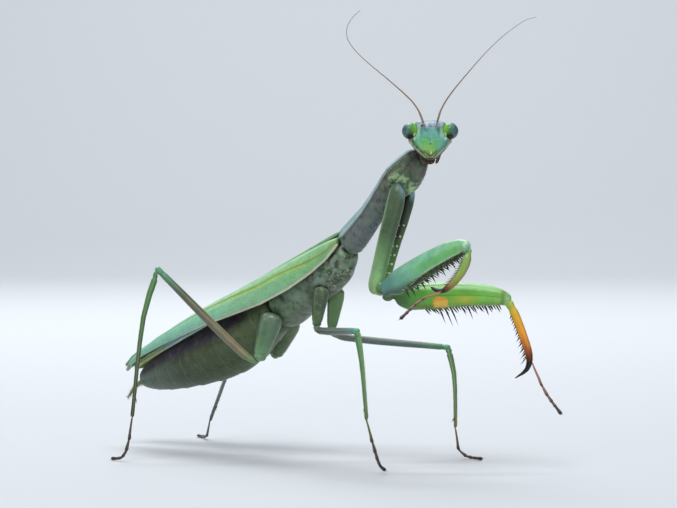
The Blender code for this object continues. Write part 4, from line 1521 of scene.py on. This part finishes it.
cercus_finish = shell("cercus_shell", cercus_colours)
cerci = {side: tube("cercus_" + side, Solid("abdomen").middle, UP) for side in SIDES}
for side, cercus in cerci.items():
    sizes = {"along": 160, "around": 28, "bury": 0.4 * MM}
    skin("cercus_" + side, cercus, cercus_shape, cercus_finish, "abdomen", **sizes)
    print(side, "cercus, mm long:", round(cercus.length / MM, 1))

# %% [markdown]
# ## Wings
#
# The fore wings are leathery covers with a cream front edge, one strong vein and a net of fine ones. The
# folded hind wings show below them as pale pleated strips. A wing isn't a tube, so it is measured from
# outside: at each station rays go in from all round, and those that hit the solid trace its curved plate.

# %% Measure a bent plate
BODY_Y = Solid("abdomen").middle.y
STATIONS, STEPS = 260, 90
WING_FAR = 14 * MM
HALVINGS = 14


class Plate:
    """The outer face of a wing's solid: rows of points from its inner edge to its lower edge."""

    def __init__(self, name, side):
        self.name, self.solid, self.side = name, Solid(name), SIDES[side]
        offsets = self.solid.points - np.array([0.0, BODY_Y, 0.0])
        u, w = offsets @ np.array(body_ahead), offsets @ np.array(body_up)
        rows = []
        for place in np.linspace(u.max() - 0.02 * MM, u.min() + 0.02 * MM, STATIONS):
            close = np.abs(u - place) < 4 * MM
            middle = w[close].min() * 0.6 + w[close].max() * 0.4
            row = self.read_row(body_ahead * place + body_up * middle + Vector((0.0, BODY_Y, 0.0)))
            if row is not None:
                rows.append(row)
        outer = blurred(np.array(rows), 2.5)
        self.outer = blurred(outer.transpose(1, 0, 2), 1.6).transpose(1, 0, 2)

    def hit(self, centre, turn):
        """Where a ray from outside meets the plate, at an angle from the side to the top and beyond."""
        out = body_left * self.side * math.cos(turn) + body_up * math.sin(turn)
        distance = self.solid.tree.ray_cast(centre + out * WING_FAR, -out, WING_FAR)[3]
        return None if distance is None else np.array(centre + out * (WING_FAR - distance))

    def last_hit(self, centre, inside, outside):
        for _ in range(HALVINGS):
            middle = (inside + outside) / 2
            if self.hit(centre, middle) is None:
                outside = middle
            else:
                inside = middle
        return inside

    def read_row(self, centre):
        turns = np.radians(np.arange(200, -91, -2.5))
        hits = [k for k, turn in enumerate(turns) if self.hit(centre, turn) is not None]
        if len(hits) < 3:
            return None
        first = self.last_hit(centre, turns[hits[0]], turns[hits[0]] + 0.05)
        last = self.last_hit(centre, turns[hits[-1]], turns[hits[-1]] - 0.05)
        found = [self.hit(centre, turn) for turn in np.linspace(first, last, STEPS)]
        known = [k for k, place in enumerate(found) if place is not None]
        places = np.array([found[k] for k in known])
        return evenly(places, STEPS)


plates = {
    f"{kind}_{side}": Plate(f"{kind}_{side}", side) for kind in ("tegmen", "hindwing") for side in SIDES
}
print("wing plates:", {name: plate.outer.shape[:2] for name, plate in plates.items()})

# %% [markdown]
# A wing's skin is its measured face, lifted along its veins, closed with a second face just below it. Each
# point keeps its share of the length, its distance from the lower edge, and how much vein there is.

# %% Wings from plates
WING_THICK = 0.13 * MM


def wing_skin(plate, veins, sink=0.05 * MM):
    """A thin closed plate. Its veins depend on the share of the length and the millimetres from its edge."""
    outer = plate.outer
    across, down = np.gradient(outer, axis=1), np.gradient(outer, axis=0)
    normals = unit(np.cross(across, down) + 1e-15)
    if (normals @ np.array(body_up)).mean() < 0:
        normals = -normals
    steps = np.linalg.norm(np.diff(outer, axis=1), axis=2)
    from_inner = np.concatenate([np.zeros((len(outer), 1)), np.cumsum(steps, axis=1)], axis=1) / MM
    from_lower = from_inner[:, -1:] - from_inner
    share = np.broadcast_to(np.linspace(0, 1, len(outer))[:, None], from_inner.shape)
    vein = veins(share, from_lower)
    top = outer - normals * (sink * (1 - 0.9 * vein))[..., None]
    under = outer - normals * (sink + WING_THICK)
    masks = {"share": share, "lower": from_lower, "vein": vein}
    masks = {name: np.concatenate([values, values[:, ::-1]], axis=1) for name, values in masks.items()}
    below = np.concatenate([np.zeros_like(vein), np.ones_like(vein)], axis=1)
    points = np.concatenate([top, under[:, ::-1]], axis=1)
    return closed_grid(plate.name + "_skin", points, {**masks, "below": below})


def tegmen_veins(share, from_lower):
    strong_place = 0.6 + 2.5 * smooth(share, -0.05, 0.26) - 1.9 * smooth(share, 0.42, 1.0)
    strong = hill(from_lower, strong_place, 0.10) * fade(share, 0.80, 0.95)
    edge = fade(from_lower, 0.10, 0.38)
    second = hill(from_lower, strong_place * 0.36, 0.05) * fade(share, 0.5, 0.7)
    lines = 0.0
    for k in range(6):
        place = strong_place + 0.55 + 0.52 * k * (0.55 + 0.45 * smooth(share, 0.05, 0.5))
        lines = lines + 0.55 * hill(from_lower, place, 0.05) * smooth(share, 0.02, 0.12)
    slant = 0.25 * hill((share * 60 + from_lower * 0.7) % 1.0, 0.5, 0.10) * smooth(from_lower, 0.45, 0.6)
    return np.clip(strong + edge + 0.6 * second + lines + slant, 0, 1)


def hindwing_veins(share, from_lower):
    return 0.5 + 0.5 * np.cos(from_lower * 2 * math.pi / 0.42)


print("vein half-way down a fore wing, 0.1 mm from its edge:", round(float(tegmen_veins(0.5, 0.1)), 2))

# %% Colours of the wings


def tegmen_colours(finish):
    share, lower = finish.mask("share"), finish.mask("lower")
    strong = share.between(-0.05, 0.26, 0.6, 3.1) - share.between(0.42, 1.0, 0.0, 1.9)
    front = finish.ramp(
        share,
        (0.0, (120, 166, 120)),
        (0.1, (132, 186, 132)),
        (0.4, (142, 196, 156)),
        (0.62, (138, 198, 174)),
        (0.9, (138, 194, 172)),
        (1.0, (112, 152, 104)),
    )
    stripe = (lower - strong).near(-0.2, 0.9) * share.between(0.04, 0.16) * share.fall(0.45, 0.72)
    past = (lower - strong).between(0.05, 0.5)
    inner = finish.ramp(
        share,
        (0.0, (130, 174, 128)),
        (0.15, (146, 194, 146)),
        (0.4, (154, 200, 162)),
        (0.75, (146, 198, 178)),
        (0.92, (138, 188, 164)),
        (1.0, (112, 152, 104)),
    )
    vein = (lower - strong).near(0.0, 0.34) * share.fall(0.6, 0.82)
    edge = lower.fall(0.22, 0.46) * share.fall(0.45, 0.75)
    net = finish.node("ShaderNodeCombineXYZ", {}, {0: share * 75.0, 1: lower * 2.6})
    net = finish.node(
        "ShaderNodeTexVoronoi", {"feature": "DISTANCE_TO_EDGE"}, {"Vector": net, "Scale": 1.0}, "Distance"
    )
    net = net.fall(0.02, 0.10) * lower.between(0.5, 0.8)
    return finish.layers(
        front,
        (past, inner),
        (stripe * 0.65, (168, 206, 108)),
        (net * 0.28, (84, 138, 84)),
        (finish.mask("vein").between(0.3, 0.8) * past * 0.4, (158, 206, 160)),
        (vein * 0.75, (122, 146, 58)),
        (edge, CREAM),
        ("below", 0.5, (96, 134, 116)),
    )


def hindwing_colours(finish):
    share = finish.mask("share")
    base = finish.ramp(
        share,
        (0.0, (92, 118, 108)),
        (0.4, (150, 176, 178)),
        (0.68, (168, 192, 190)),
        (0.78, (160, 164, 96)),
        (0.9, (156, 158, 76)),
        (1.0, (172, 180, 84)),
    )
    return finish.layers(
        base, ("vein", 0.35, (176, 194, 186)), (finish.noise(0.8 * MM).between(0.5, 0.6) * 0.3, TEAL)
    )


tegmen_finish = shell("tegmen_leather", tegmen_colours, pores=0.22 * MM, gloss=0.36)
hindwing_finish = shell("hindwing_membrane", hindwing_colours, pores=0.15 * MM, gloss=0.32)
for side in SIDES:
    piece = wing_skin(plates["tegmen_" + side], tegmen_veins)
    dress(piece, tegmen_finish, "tegmen", "tegmen_" + side)
    print(side, "fore wing has", len(piece.data.polygons), "faces")
    piece = wing_skin(plates["hindwing_" + side], hindwing_veins, sink=0.10 * MM)
    dress(piece, hindwing_finish, "hindwing", "hindwing_" + side)

# %% [markdown]
# ## Head
#
# The head is a flat triangle with an eye at each upper corner and the mouth at the lower one. The eyes'
# solids give its axes. Its skin is measured round an upright line, and where a ray ends in an eye's socket
# the reach is taken from above and below, so that the skin runs on unseen beneath the eye.

# %% Measure the head
eyes = {side: Solid("eye_" + side) for side in SIDES}
HEAD_PITCH = math.radians(2.3)
head_middle = (eyes["left"].middle + eyes["right"].middle) / 2
head_left = (eyes["left"].middle - eyes["right"].middle).normalized()
level_face = head_left.cross(UP).normalized()
head_face = (level_face * math.cos(HEAD_PITCH) + UP * math.sin(HEAD_PITCH)).normalized()
head_up = head_face.cross(head_left)
HEAD_AXES = np.array([head_left, head_up, head_face])


def in_head(points):
    """Places as millimetres to the left, up and to the front of the point midway between the eyes."""
    return (np.asarray(points) - np.array(head_middle)) @ HEAD_AXES.T / MM


EYE_MIDDLES = {side: in_head(eyes[side].middle) for side in SIDES}
eye_extents = in_head(eyes["left"].points) - EYE_MIDDLES["left"]
EYE_HALVES = np.abs(eye_extents).max(axis=0)
print("eyes, mm from side to side, up and deep:", np.round(2 * EYE_HALVES, 2))


def eye_closeness(points):
    """1 on the surface of an eye, less inside it."""
    places = in_head(points)
    places[..., 0] = np.abs(places[..., 0])
    return np.linalg.norm((places - EYE_MIDDLES["left"]) / EYE_HALVES, axis=-1)


class HeadTube(Tube):
    """The head's tube. It looks past the eyes' sockets."""

    def read_reach(self):
        table = np.full((len(self.line), self.around), np.nan)
        for k, place in enumerate(self.line):
            rays = round_rays(Vector(self.sides[k]), Vector(self.ups[k]), self.around)
            for j, ray in enumerate(rays):
                reach = self.solid.reach(Vector(place), ray)
                if reach and eye_closeness(Vector(place) + ray * reach) > 1.12:
                    table[k, j] = reach
        for j in range(self.around):
            known = np.isfinite(table[:, j])
            table[:, j] = np.interp(np.arange(len(table)), np.where(known)[0], table[known, j])
        return table


head = HeadTube(head_solid, straight(head_solid, -head_up), head_face, count=120, around=120, ease=1.2)
print("head, mm high:", round(head.length / MM, 2))

# %% [markdown]
# The face is mapped in millimetres from the point between the eyes. Its plates - brow, shield, clypeus and
# lip - are parted by grooves, each a line on that map. Cream seams run down both jaws to the mouth.

# %% The map of the face


def line_gap(places, start, end):
    """How far places on the face are from a straight line between two of its points, in millimetres."""
    start, end = np.array(start), np.array(end)
    way = end - start
    share = np.clip(((places - start) @ way) / (way @ way), 0, 1)
    return np.linalg.norm(places - start - share[..., None] * way, axis=-1)


def spot(places, middle, radius, soft=0.35):
    return fade(np.linalg.norm(places - np.array(middle), axis=-1), radius * (1 - soft), radius * (1 + soft))


GROOVES = (
    ((0.0, 0.42), (1.26, 0.40)),
    ((1.28, 0.38), (1.12, -0.84)),
    ((1.12, -0.84), (0.0, -1.16)),
    ((1.02, -2.02), (0.0, -2.32)),
    ((1.02, -2.02), (0.72, -2.78)),
)
FINE_LINES = (((0.0, 0.36), (0.0, -1.12)), ((0.55, 1.25), (0.62, 0.45)), ((1.2, 1.3), (1.3, 0.45)))
PLATE_EDGE = ((3.1, -1.15), (0.76, -3.36))
EDGE_END = (0.14, -3.74)
CHEEK_EDGE = ((1.95, -1.15), (0.95, -2.5))
GREEN_SPOTS = (((-0.62, -1.32), 0.45), ((0.85, -1.45), 0.38), ((-0.1, -1.95), 0.5))


def beyond(places, start, end):
    """Millimetres past a line on the map, on its outer side."""
    way = np.array(end) - np.array(start)
    outward = np.array([-way[1], way[0]]) / np.linalg.norm(way)
    return (places - np.array(start)) @ outward


def face_masks(points):
    """Masks over the head, from places in head millimetres."""
    places = in_head(points)
    flat, front = places[..., :2], smooth(places[..., 2], -0.1, 0.35)
    left, up = flat[..., 0], flat[..., 1]
    out, down = np.abs(left), -up
    mirrored = np.stack([out, up], axis=-1)
    groove = np.max([fade(line_gap(mirrored, *line), 0.01, 0.12) for line in GROOVES], axis=0) * front
    fine = np.max([fade(line_gap(mirrored, *line), 0.01, 0.07) for line in FINE_LINES], axis=0) * front
    edge_line = np.minimum(line_gap(mirrored, *PLATE_EDGE), line_gap(mirrored, PLATE_EDGE[1], EDGE_END))
    seam = fade(edge_line, 0.01, 0.10)
    past = np.maximum(beyond(mirrored, *PLATE_EDGE), beyond(mirrored, PLATE_EDGE[1], EDGE_END))
    jaw = smooth(past, 0.05, 0.14)
    near_eye = eye_closeness(points)
    cheek = smooth(beyond(mirrored, *CHEEK_EDGE), 0.0, 0.3) * fade(up, -1.15, -0.85)
    band = smooth(out, 1.25, 1.5) * fade(out, 1.75, 2.0)
    # The glint line runs down the middle of the lip and makes the shine mask, a painted highlight.
    glint = np.abs(left - 0.12) / (0.03 + 0.10 * smooth(down, 2.45, 3.0))
    # The corner spot, low beside each eye's inner edge, is a painted highlight.
    corner = np.linalg.norm((mirrored - (2.08, -1.02)) / (0.20, 0.30), axis=-1)
    light_spot = np.linalg.norm((flat - (-0.45, -2.25)) / (0.9, 0.5), axis=-1)
    return {
        "groove": groove,
        "fine": fine,
        "seam": seam,
        "cheek": cheek * (1 - 0.45 * smooth(left, 0.0, 0.5)) * (1 - jaw),
        "jaw": jaw,
        "rim": fade(near_eye, 1.04, 1.24),
        "socket": fade(near_eye, 0.98, 1.05),
        "bar": hill(out, 1.16, 0.20) * smooth(up, -0.75, -0.25) * fade(up, 0.2, 0.5),
        "brow": smooth(up, 0.28, 0.62) * fade(out, 1.75, 2.1),
        "brow_spot": spot(flat, (0.02, 0.64), 0.24) * front,
        "side_band": band * fade(up, 0.2, 0.5) * smooth(up, -1.6, -0.6),
        "green": np.max([spot(flat, middle, radius, 0.7) for middle, radius in GREEN_SPOTS], axis=0),
        "light": fade(light_spot, 0.3, 1.2),
        "teal": smooth(left, 0.75, 1.3) * smooth(down, 0.6, 1.3),
        # Teal on the left of the lower face: partly the face's own teal, partly a painted reflection.
        "lip": fade(out, 0.45, 0.80) * smooth(down, 2.30, 2.45) * fade(down, 2.9, 3.1),
        "shine": fade(glint, 0.6, 1.2) * smooth(down, 2.3, 2.6) * fade(down, 2.98, 3.1) * front,
        "chevron": fade(line_gap(mirrored, (0.8, -2.72), (0.0, -3.30)), 0.04, 0.24) * front,
        "chin_line": fade(line_gap(mirrored, (0.70, -3.0), (0.0, -3.55)), 0.02, 0.09) * front,
        "chin": smooth(down, 3.38, 3.60),
        "dot": (spot(flat, (-1.09, 0.62), 0.15) + spot(flat, (0.03, -1.70), 0.085)) * front,
        "below_eye": fade(line_gap(mirrored, (3.4, -1.0), (2.5, -1.62)), 0.08, 0.26),
        "corner": fade(corner, 0.35, 1.1) * front,
        "back": 1 - front,
    }


def head_shape(share, turn, points):
    masks = face_masks(points)
    height = in_head(points)[..., 1]
    dome = 0.012 * masks["green"] + 0.02 * masks["lip"] - 0.012 * masks["bar"]
    factor = 0.988 - 0.022 * masks["groove"] - 0.012 * masks["fine"] + dome
    factor = factor - 0.03 * masks["socket"] + 0.02 * masks["seam"] - 0.01 * masks["jaw"]
    return factor - 0.025 * masks["chevron"], {**masks, "height": height}


print("grooves on each half of the face:", len(GROOVES))

# %% Colours of the head


def head_colours(finish):
    height, mask = finish.mask("height"), finish.mask
    face = finish.ramp(
        height.between(-3.8, 1.4),
        (0.05, (90, 120, 50)),
        (0.25, (134, 200, 100)),
        (0.42, (116, 198, 140)),
        (0.58, (104, 184, 164)),
        (0.80, (112, 174, 162)),
    )
    mottle = finish.noise(0.5 * MM, 3.0)
    return finish.layers(
        face,
        (mottle.between(0.5, 0.66) * 0.55, (128, 190, 164)),
        (mottle.between(0.48, 0.36) * 0.5, (64, 134, 116)),
        ("bar", 0.55, (78, 142, 148)),
        ("side_band", 0.85, (152, 204, 166)),
        (mask("green") * mottle.between(0.3, 0.55, 0.5, 1.0) * 0.85, (112, 192, 86)),
        ("light", 0.75, (162, 216, 122)),
        # Partly the face's own teal, partly a painted reflection.
        ("teal", 0.65, (104, 186, 176)),
        ("lip", 0.6, (150, 200, 80)),
        ("brow", 0.9, LILAC),
        (mask("brow") * mottle.between(0.5, 0.62) * 0.6, (132, 146, 184)),
        (mask("brow") * mottle.between(0.48, 0.38) * 0.5, (206, 216, 226)),
        ("brow_spot", 0.8, (84, 104, 158)),
        (mask("cheek") * mottle.between(0.35, 0.6, 0.95, 0.5), (44, 84, 56)),
        ("groove", 0.2, (52, 116, 100)),
        ("fine", 0.3, (70, 136, 128)),
        ("rim", 0.75, (140, 192, 118)),
        ("chevron", 0.7, (78, 112, 44)),
        ("chin_line", 0.8, (176, 176, 110)),
        # Painted highlight down the middle of the lip.
        ("shine", 0.85, (224, 244, 186)),
        ("jaw", 0.9, (66, 62, 44)),
        (mask("jaw") * mottle.between(0.5, 0.6) * 0.6, (96, 96, 76)),
        (mask("seam") * mottle.between(0.3, 0.5, 0.5, 0.9), (206, 192, 160)),
        ("below_eye", 0.85, (206, 184, 150)),
        # Painted highlight beside each eye's lower inner edge.
        ("corner", 0.85, (214, 236, 204)),
        ("chin", 0.85, (58, 38, 20)),
        ("back", 0.5, (76, 100, 84)),
        (mask("socket"), (104, 150, 84)),
        (mask("dot"), (16, 22, 24)),
    )


finish = shell("head_shell", head_colours, pores=0.10 * MM, depth=0.012 * MM, gloss=0.33)
piece = skin("head", head, head_shape, finish, "head", along=230, around=220)
print("head has", len(piece.data.polygons), "faces")

# %% [markdown]
# A compound eye is thousands of lenses on a smooth bulge. Deep in it lies a dark spot that faces the
# onlooker, and bands of green and blue run round it; the blue-grey of its outer side and its pale flecks are
# partly a painted sheen, and a pale spot low on its inner side is a painted glint. The eye is made as a fine
# egg shape on the head's own axes, and keeps two masks: how far each point faces outward and upward.

# %% The eyes
EYE_ROWS, EYE_COLUMNS = 90, 120
EYE_BULGE, EYE_KEEP = 0.03, 0.985 / 1.03 * 1.01


def make_eye(side):
    sign, middle = SIDES[side], EYE_MIDDLES[side]
    down = np.pi * (np.arange(EYE_ROWS) + 0.5) / EYE_ROWS
    polar, turn = np.meshgrid(down, 2 * np.pi * np.arange(EYE_COLUMNS) / EYE_COLUMNS, indexing="ij")
    ways = np.stack(
        [sign * np.sin(polar) * np.cos(turn), np.cos(polar), np.sin(polar) * np.sin(turn)], axis=-1
    )
    fuller = 1 + EYE_BULGE * np.sin(polar) ** 4
    places = middle + ways * EYE_HALVES * (EYE_KEEP * fuller)[..., None]
    points = places * MM @ HEAD_AXES + np.array(head_middle)
    return closed_grid(f"eye_{side}_skin", points, {"out": ways[..., 0] * sign, "high": ways[..., 1]})


def eye_finish():
    finish = Finish("compound_eye", specular_ior_level=0.35, coat_weight=0.08, coat_roughness=0.2)
    out, high = finish.mask("out"), finish.mask("high")
    across = out + (finish.noise(0.5 * MM, 2.0) * 0.16 - 0.08)
    base = finish.ramp(
        across.between(-1.0, 0.9),
        (0.0, (150, 196, 110)),
        (0.10, (124, 186, 66)),
        (0.30, (96, 164, 50)),
        (0.46, (74, 124, 56)),
        (0.60, (66, 120, 98)),
        # The blue-grey towards the outer side is partly the eye's own colour and partly a painted sheen.
        (0.78, (84, 126, 120)),
        (1.0, (56, 86, 90)),
    )
    top = high.between(0.3, 0.95) * across.between(-0.85, -0.3)
    pupil = (((across + 0.08) * 1.9) ** 2) + (((high + 0.70) * 3.2) ** 2)
    olive = (((across + 0.15) * 1.3) ** 2) + (((high + 0.62) * 1.9) ** 2)
    under = high.between(-0.62, -0.92)
    # Pale flecks on the outer half: a painted sheen.
    sheen_fleck = finish.noise(0.16 * MM, 2.0).between(0.56, 0.68) * across.between(0.0, 0.4)
    dark_fleck = finish.noise(0.2 * MM, 2.0).between(0.44, 0.34) * across.between(0.0, 0.4)
    # A pale spot low on the eye's inner side: a painted glint.
    white = (((across + 0.66) * 4.6) ** 2) + (((high + 0.60) * 2.6) ** 2)
    lens = finish.cells(0.045 * MM)
    colour = finish.layers(
        base,
        (top * 0.7, (56, 128, 96)),
        (sheen_fleck * 0.5, (150, 180, 190)),
        (dark_fleck * 0.5, (34, 60, 66)),
        (olive.between(1.1, 0.2) * 0.8, (62, 80, 30)),
        (under * 0.7, (70, 74, 40)),
        (pupil.between(1.1, 0.5), (8, 14, 8)),
        # Painted glint low on the inner side.
        (white.between(1.2, 0.5), (232, 244, 216)),
    )
    colour = finish.shade(colour, lens * 0.35 + 0.82)
    return finish.wear(colour, lens * 0.1 + 0.30, lens, 0.004 * MM)


eye_glass = eye_finish()
for side in SIDES:
    dress(make_eye(side), eye_glass, "eye", "eye_" + side)
print("points of each eye:", EYE_ROWS * EYE_COLUMNS)

# %% [markdown]
# Three small simple eyes sit on the brow, and a low socket holds each feeler. Both are lenses: shallow domes
# set on the skin.

# %% Simple eyes and sockets
DOME_ROWS, DOME_COLUMNS = 22, 32


def dome(name, place, way, radius, height):
    """A low dome on a place, which faces a way."""
    way = Vector(way).normalized()
    side = way.orthogonal().normalized()
    other = way.cross(side)
    turns = 2 * np.pi * np.arange(DOME_COLUMNS) / DOME_COLUMNS
    row = np.cos(turns)[:, None] * np.array(side) + np.sin(turns)[:, None] * np.array(other)
    angles = np.linspace(0, math.pi, DOME_ROWS)
    rows = []
    for angle in angles:
        wide = max(radius * math.sin(angle), 0.001 * MM)
        rows.append(np.array(place) + row * wide + np.array(way) * height * math.cos(angle))
    along = np.broadcast_to(angles[:, None], (DOME_ROWS, DOME_COLUMNS)) / math.pi
    return closed_grid(name, np.array(rows), {"along": along})


def on_face(left, up):
    """A place on the head's front, and the way out there."""
    start = Vector(head_middle) + (head_left * left + head_up * up + head_face * 8) * MM
    place, normal, _, _ = head_solid.tree.ray_cast(start, -head_face)
    return place, (normal + head_face).normalized()


lens_finish = shell(
    "simple_eye",
    lambda finish: finish.ramp(finish.mask("along"), (0.0, (196, 206, 232)), (0.5, (96, 110, 160))),
    gloss=0.18,
)
for name, (left, up) in {"middle": (0.03, 0.68), "left": (0.46, 1.04), "right": (-0.42, 1.04)}.items():
    place, way = on_face(left, up)
    piece = dome(f"simple_eye_{name}", place - way * 0.05 * MM, way, 0.17 * MM, 0.11 * MM)
    dress(piece, lens_finish, "eye")
    print(name, "simple eye, mm up from the floor:", round(place.z / MM, 1))

# %% [markdown]
# ## Feelers
#
# A feeler is a bristle of some ninety rings, thick at its root and hair-thin at its tip. Its solid is kept
# stout so that it doesn't break, so the skin takes only the middle of it.

# %% The feelers


def feeler_shape(share, turn, points):
    ring = 0.5 + 0.5 * np.cos(share * 2 * math.pi * 92)
    thin = 0.48 - 0.28 * smooth(share, 0.0, 0.75) - 0.05 * smooth(share, 0.7, 1.0)
    root = 0.08 * fade(share, 0.045, 0.06) + 0.06 * hill(share, 0.075, 0.015)
    return thin + root - 0.05 * ring * (share > 0.08), {"ring": ring, "root": fade(share, 0.05, 0.075)}


def feeler_colours(finish):
    base = finish.ramp(
        finish.mask("along"), (0.0, (156, 146, 116)), (0.15, (160, 126, 100)), (1.0, (128, 96, 76))
    )
    return finish.layers(base, ("ring", 0.4, (112, 80, 62)), ("root", 0.5, (140, 148, 120)))


feeler_finish = shell("feeler_shell", feeler_colours, pores=0.06 * MM)
for side, feeler in feelers.items():
    sizes = {"along": 900, "around": 12, "cap": 0.1 * MM, "bury": 0.35 * MM}
    piece = skin("antenna_" + side, feeler, feeler_shape, feeler_finish, "antenna", **sizes)
    print(side, "feeler has", len(piece.data.polygons), "faces")
    place, way = Vector(feeler.line[1]), Vector(feeler.ways[1])
    piece = dome(f"antenna_{side}_socket", place - way * 0.05 * MM, way, 0.24 * MM, 0.07 * MM)
    dress(piece, lens_finish, "antenna")

# %% [markdown]
# Behind the lip lie the dark jaws and the lower lip, with a jointed palp on either side.

# %% The mouth


def jaw_shape(share, turn, points):
    cleft = facing(turn, 90, 12) + facing(turn, 270, 12)
    steps = hill(share, 0.45, 0.03) + hill(share, 0.75, 0.03)
    return 0.98 - 0.10 * cleft - 0.08 * steps, {"cleft": cleft}


def palp_shape(share, turn, points):
    joint = hill(share, 0.22, 0.035) + hill(share, 0.52, 0.035) + hill(share, 0.80, 0.03)
    return 0.97 - 0.16 * joint - 0.14 * smooth(share, 0.82, 1.0), {"joint": joint}


jaw_finish = shell(
    "jaw_shell",
    lambda finish: finish.layers(
        (80, 54, 36), (finish.noise(0.4 * MM), (48, 38, 26)), (finish.mask("cleft"), HORN)
    ),
)
palp_finish = shell(
    "palp_shell",
    lambda finish: finish.layers(
        (96, 104, 70),
        ("joint", 0.7, (66, 54, 38)),
        (finish.mask("along").between(0.5, 0.9) * 0.8, (104, 76, 54)),
    ),
)
mouth = Solid("mouthparts")
mouth = Tube(mouth, straight(mouth, -head_up), head_face, count=50)
skin("mouthparts", mouth, jaw_shape, jaw_finish, "mouth", along=90, around=72, bury=0.3 * MM)
for side in SIDES:
    palp = Solid("palp_" + side)
    palp = Tube(palp, walk(palp, head_middle), head_face, count=50)
    skin("palp_" + side, palp, palp_shape, palp_finish, "mouth", along=120, around=28, bury=0.3 * MM)
    print(side, "palp, mm:", round(palp.length / MM, 2))

# %% [markdown]
# ## Hairs
#
# Fine hairs catch the light along the legs and the cerci. They are scattered over the tubes by a generator
# with a fixed seed, so that every run grows the same coat, and set there by the same tree as the spines.

# %% Scatter the hairs
HAIR_SINK, HAIR_WIDTH = 0.03 * MM, 0.013 * MM


def hairs(name, slot, tube, count, length, seed, shares=(0.05, 0.95)):
    """Short hairs all over a tube, which lie towards its end."""
    chance = np.random.default_rng(seed)
    share, turn = chance.uniform(*shares, count), chance.uniform(0, 2 * math.pi, count)
    line, out, reach = tube.at(share, turn)
    rows = (share * (len(tube.line) - 1)).astype(int)
    feet = line + out * (reach * 0.96 - HAIR_SINK)[:, None]
    ways = out + tube.ways[rows] * chance.uniform(0.7, 1.3, (count, 1))
    lengths = length * chance.uniform(0.6, 1.1, count)
    plant(name, hair_finish, slot, feet, ways, lengths, HAIR_WIDTH, facets=3, steps=2, bend=4.0)


hair_finish = shell(
    "hair", lambda finish: finish.ramp(finish.mask("tip"), (0.0, (120, 124, 84)), (1.0, (196, 186, 140)))
)
for seed, (leg, parts) in enumerate(legs.items()):
    if leg.startswith("fore"):
        hairs(f"{leg}_coxa_hairs", "fore_leg", parts["coxa"], 160, 0.22 * MM, seed)
        hairs(f"{leg}_femur_hairs", "fore_leg", parts["femur"], 220, 0.20 * MM, seed + 20)
    else:
        hairs(f"{leg}_femur_hairs", "walking_leg", parts["femur"], 260, 0.20 * MM, seed + 40)
        hairs(f"{leg}_tibia_hairs", "walking_leg", parts["tibia"], 420, 0.20 * MM, seed + 60)
for side, cercus in cerci.items():
    hairs(f"cercus_{side}_hairs", "abdomen", cercus, 260, 0.32 * MM, 80 + SIDES[side], (0.1, 0.98))
print("legs with hairs:", len(legs))

# %% [markdown]
# ## Camera, floor and light
#
# A long lens stands low, a third of a metre away to the right and in front, so that the near legs are drawn
# at nearly the size of the far ones. The floor is pale and plain. One large lamp stands high before her, a
# wide one fills the shadows, and one behind draws the bright edges of her wings.

# %% The camera
low, high = cad_box
middle = (low + high) / 2
AIM = Vector((3.0, 2.7, -2.0))
TARGET = middle + AIM * MM
BACK = Vector((0.6016, -0.7984, 0.0262)).normalized()
DISTANCE = 348 * MM
LENS, FILM = 136.98, 36.0
camera = bpy.data.objects.new("camera", bpy.data.cameras.new("camera"))
camera.data.lens, camera.data.sensor_width = LENS, FILM
camera.data.clip_start = 0.01
camera.location = TARGET + BACK * DISTANCE
camera.rotation_euler = BACK.to_track_quat("Z", "Y").to_euler()
bpy.context.scene.collection.objects.link(camera)
bpy.context.scene.camera = camera
print("camera, mm above the floor:", round(camera.location.z / MM, 1))

# %% Floor and lamps
level = Vector((BACK.x, BACK.y, 0.0)).normalized()
across = UP.cross(level)
SWEEP, BEND_AT, WALL = 0.45, -0.7, 2.2
profile = [(1.2, 0.0), (0.1, 0.0), (BEND_AT, 0.0)]
for turn in np.linspace(0.08, math.pi / 2, 24):
    profile.append((BEND_AT - SWEEP * math.sin(turn), SWEEP * (1 - math.cos(turn))))
profile.append((BEND_AT - SWEEP, WALL))
rows = [[level * back + across * side + UP * height for side in (-WALL, WALL)] for back, height in profile]
floor_mesh = bpy.data.meshes.new("floor")
corners = [corner for row in rows for corner in row]
floor_mesh.from_pydata(corners, [], [(2 * k, 2 * k + 1, 2 * k + 3, 2 * k + 2) for k in range(len(rows) - 1)])
floor_mesh.shade_smooth()
floor = bpy.data.objects.new("floor", floor_mesh)
bpy.context.scene.collection.objects.link(floor)
floor_mesh.materials.append(Finish("pale_floor").wear((188, 193, 199), 0.85))


def lamp(name, place, size, power, toward=(0.0, 0.0, 0.0)):
    """A square lamp, turned towards a place. Both are measured from the middle of the model."""
    data = bpy.data.lights.new(name, "AREA")
    data.size, data.energy = size, power
    light = bpy.data.objects.new(name, data)
    light.location = middle + Vector(place)
    light.rotation_euler = (Vector(place) - Vector(toward)).to_track_quat("Z", "Y").to_euler()
    bpy.context.scene.collection.objects.link(light)


lamp("key_lamp", (0.06, -0.20, 0.44), 0.24, 1.8)
lamp("front_lamp", (0.45, -0.40, 0.16), 0.35, 0.35)
lamp("back_lamp", (-0.30, 0.25, 0.40), 0.30, 1.4)
lamp("backdrop_lamp", (-0.20, 0.30, 0.90), 0.50, 10.5, (-0.75, 1.0, 0.15))
world = bpy.data.worlds.new("pale_room")
bpy.context.scene.world = world
world.use_nodes = True
world.node_tree.nodes["Background"].inputs["Color"].default_value = light((236, 240, 242))
world.node_tree.nodes["Background"].inputs["Strength"].default_value = 0.22
bpy.context.scene.view_settings.view_transform = "Standard"
print("lamps:", len(bpy.data.lights))

# %% Sizes and finish
print("frame, mm:", [round(side / MM, 2) for side in cad_box[1] - cad_box[0]])
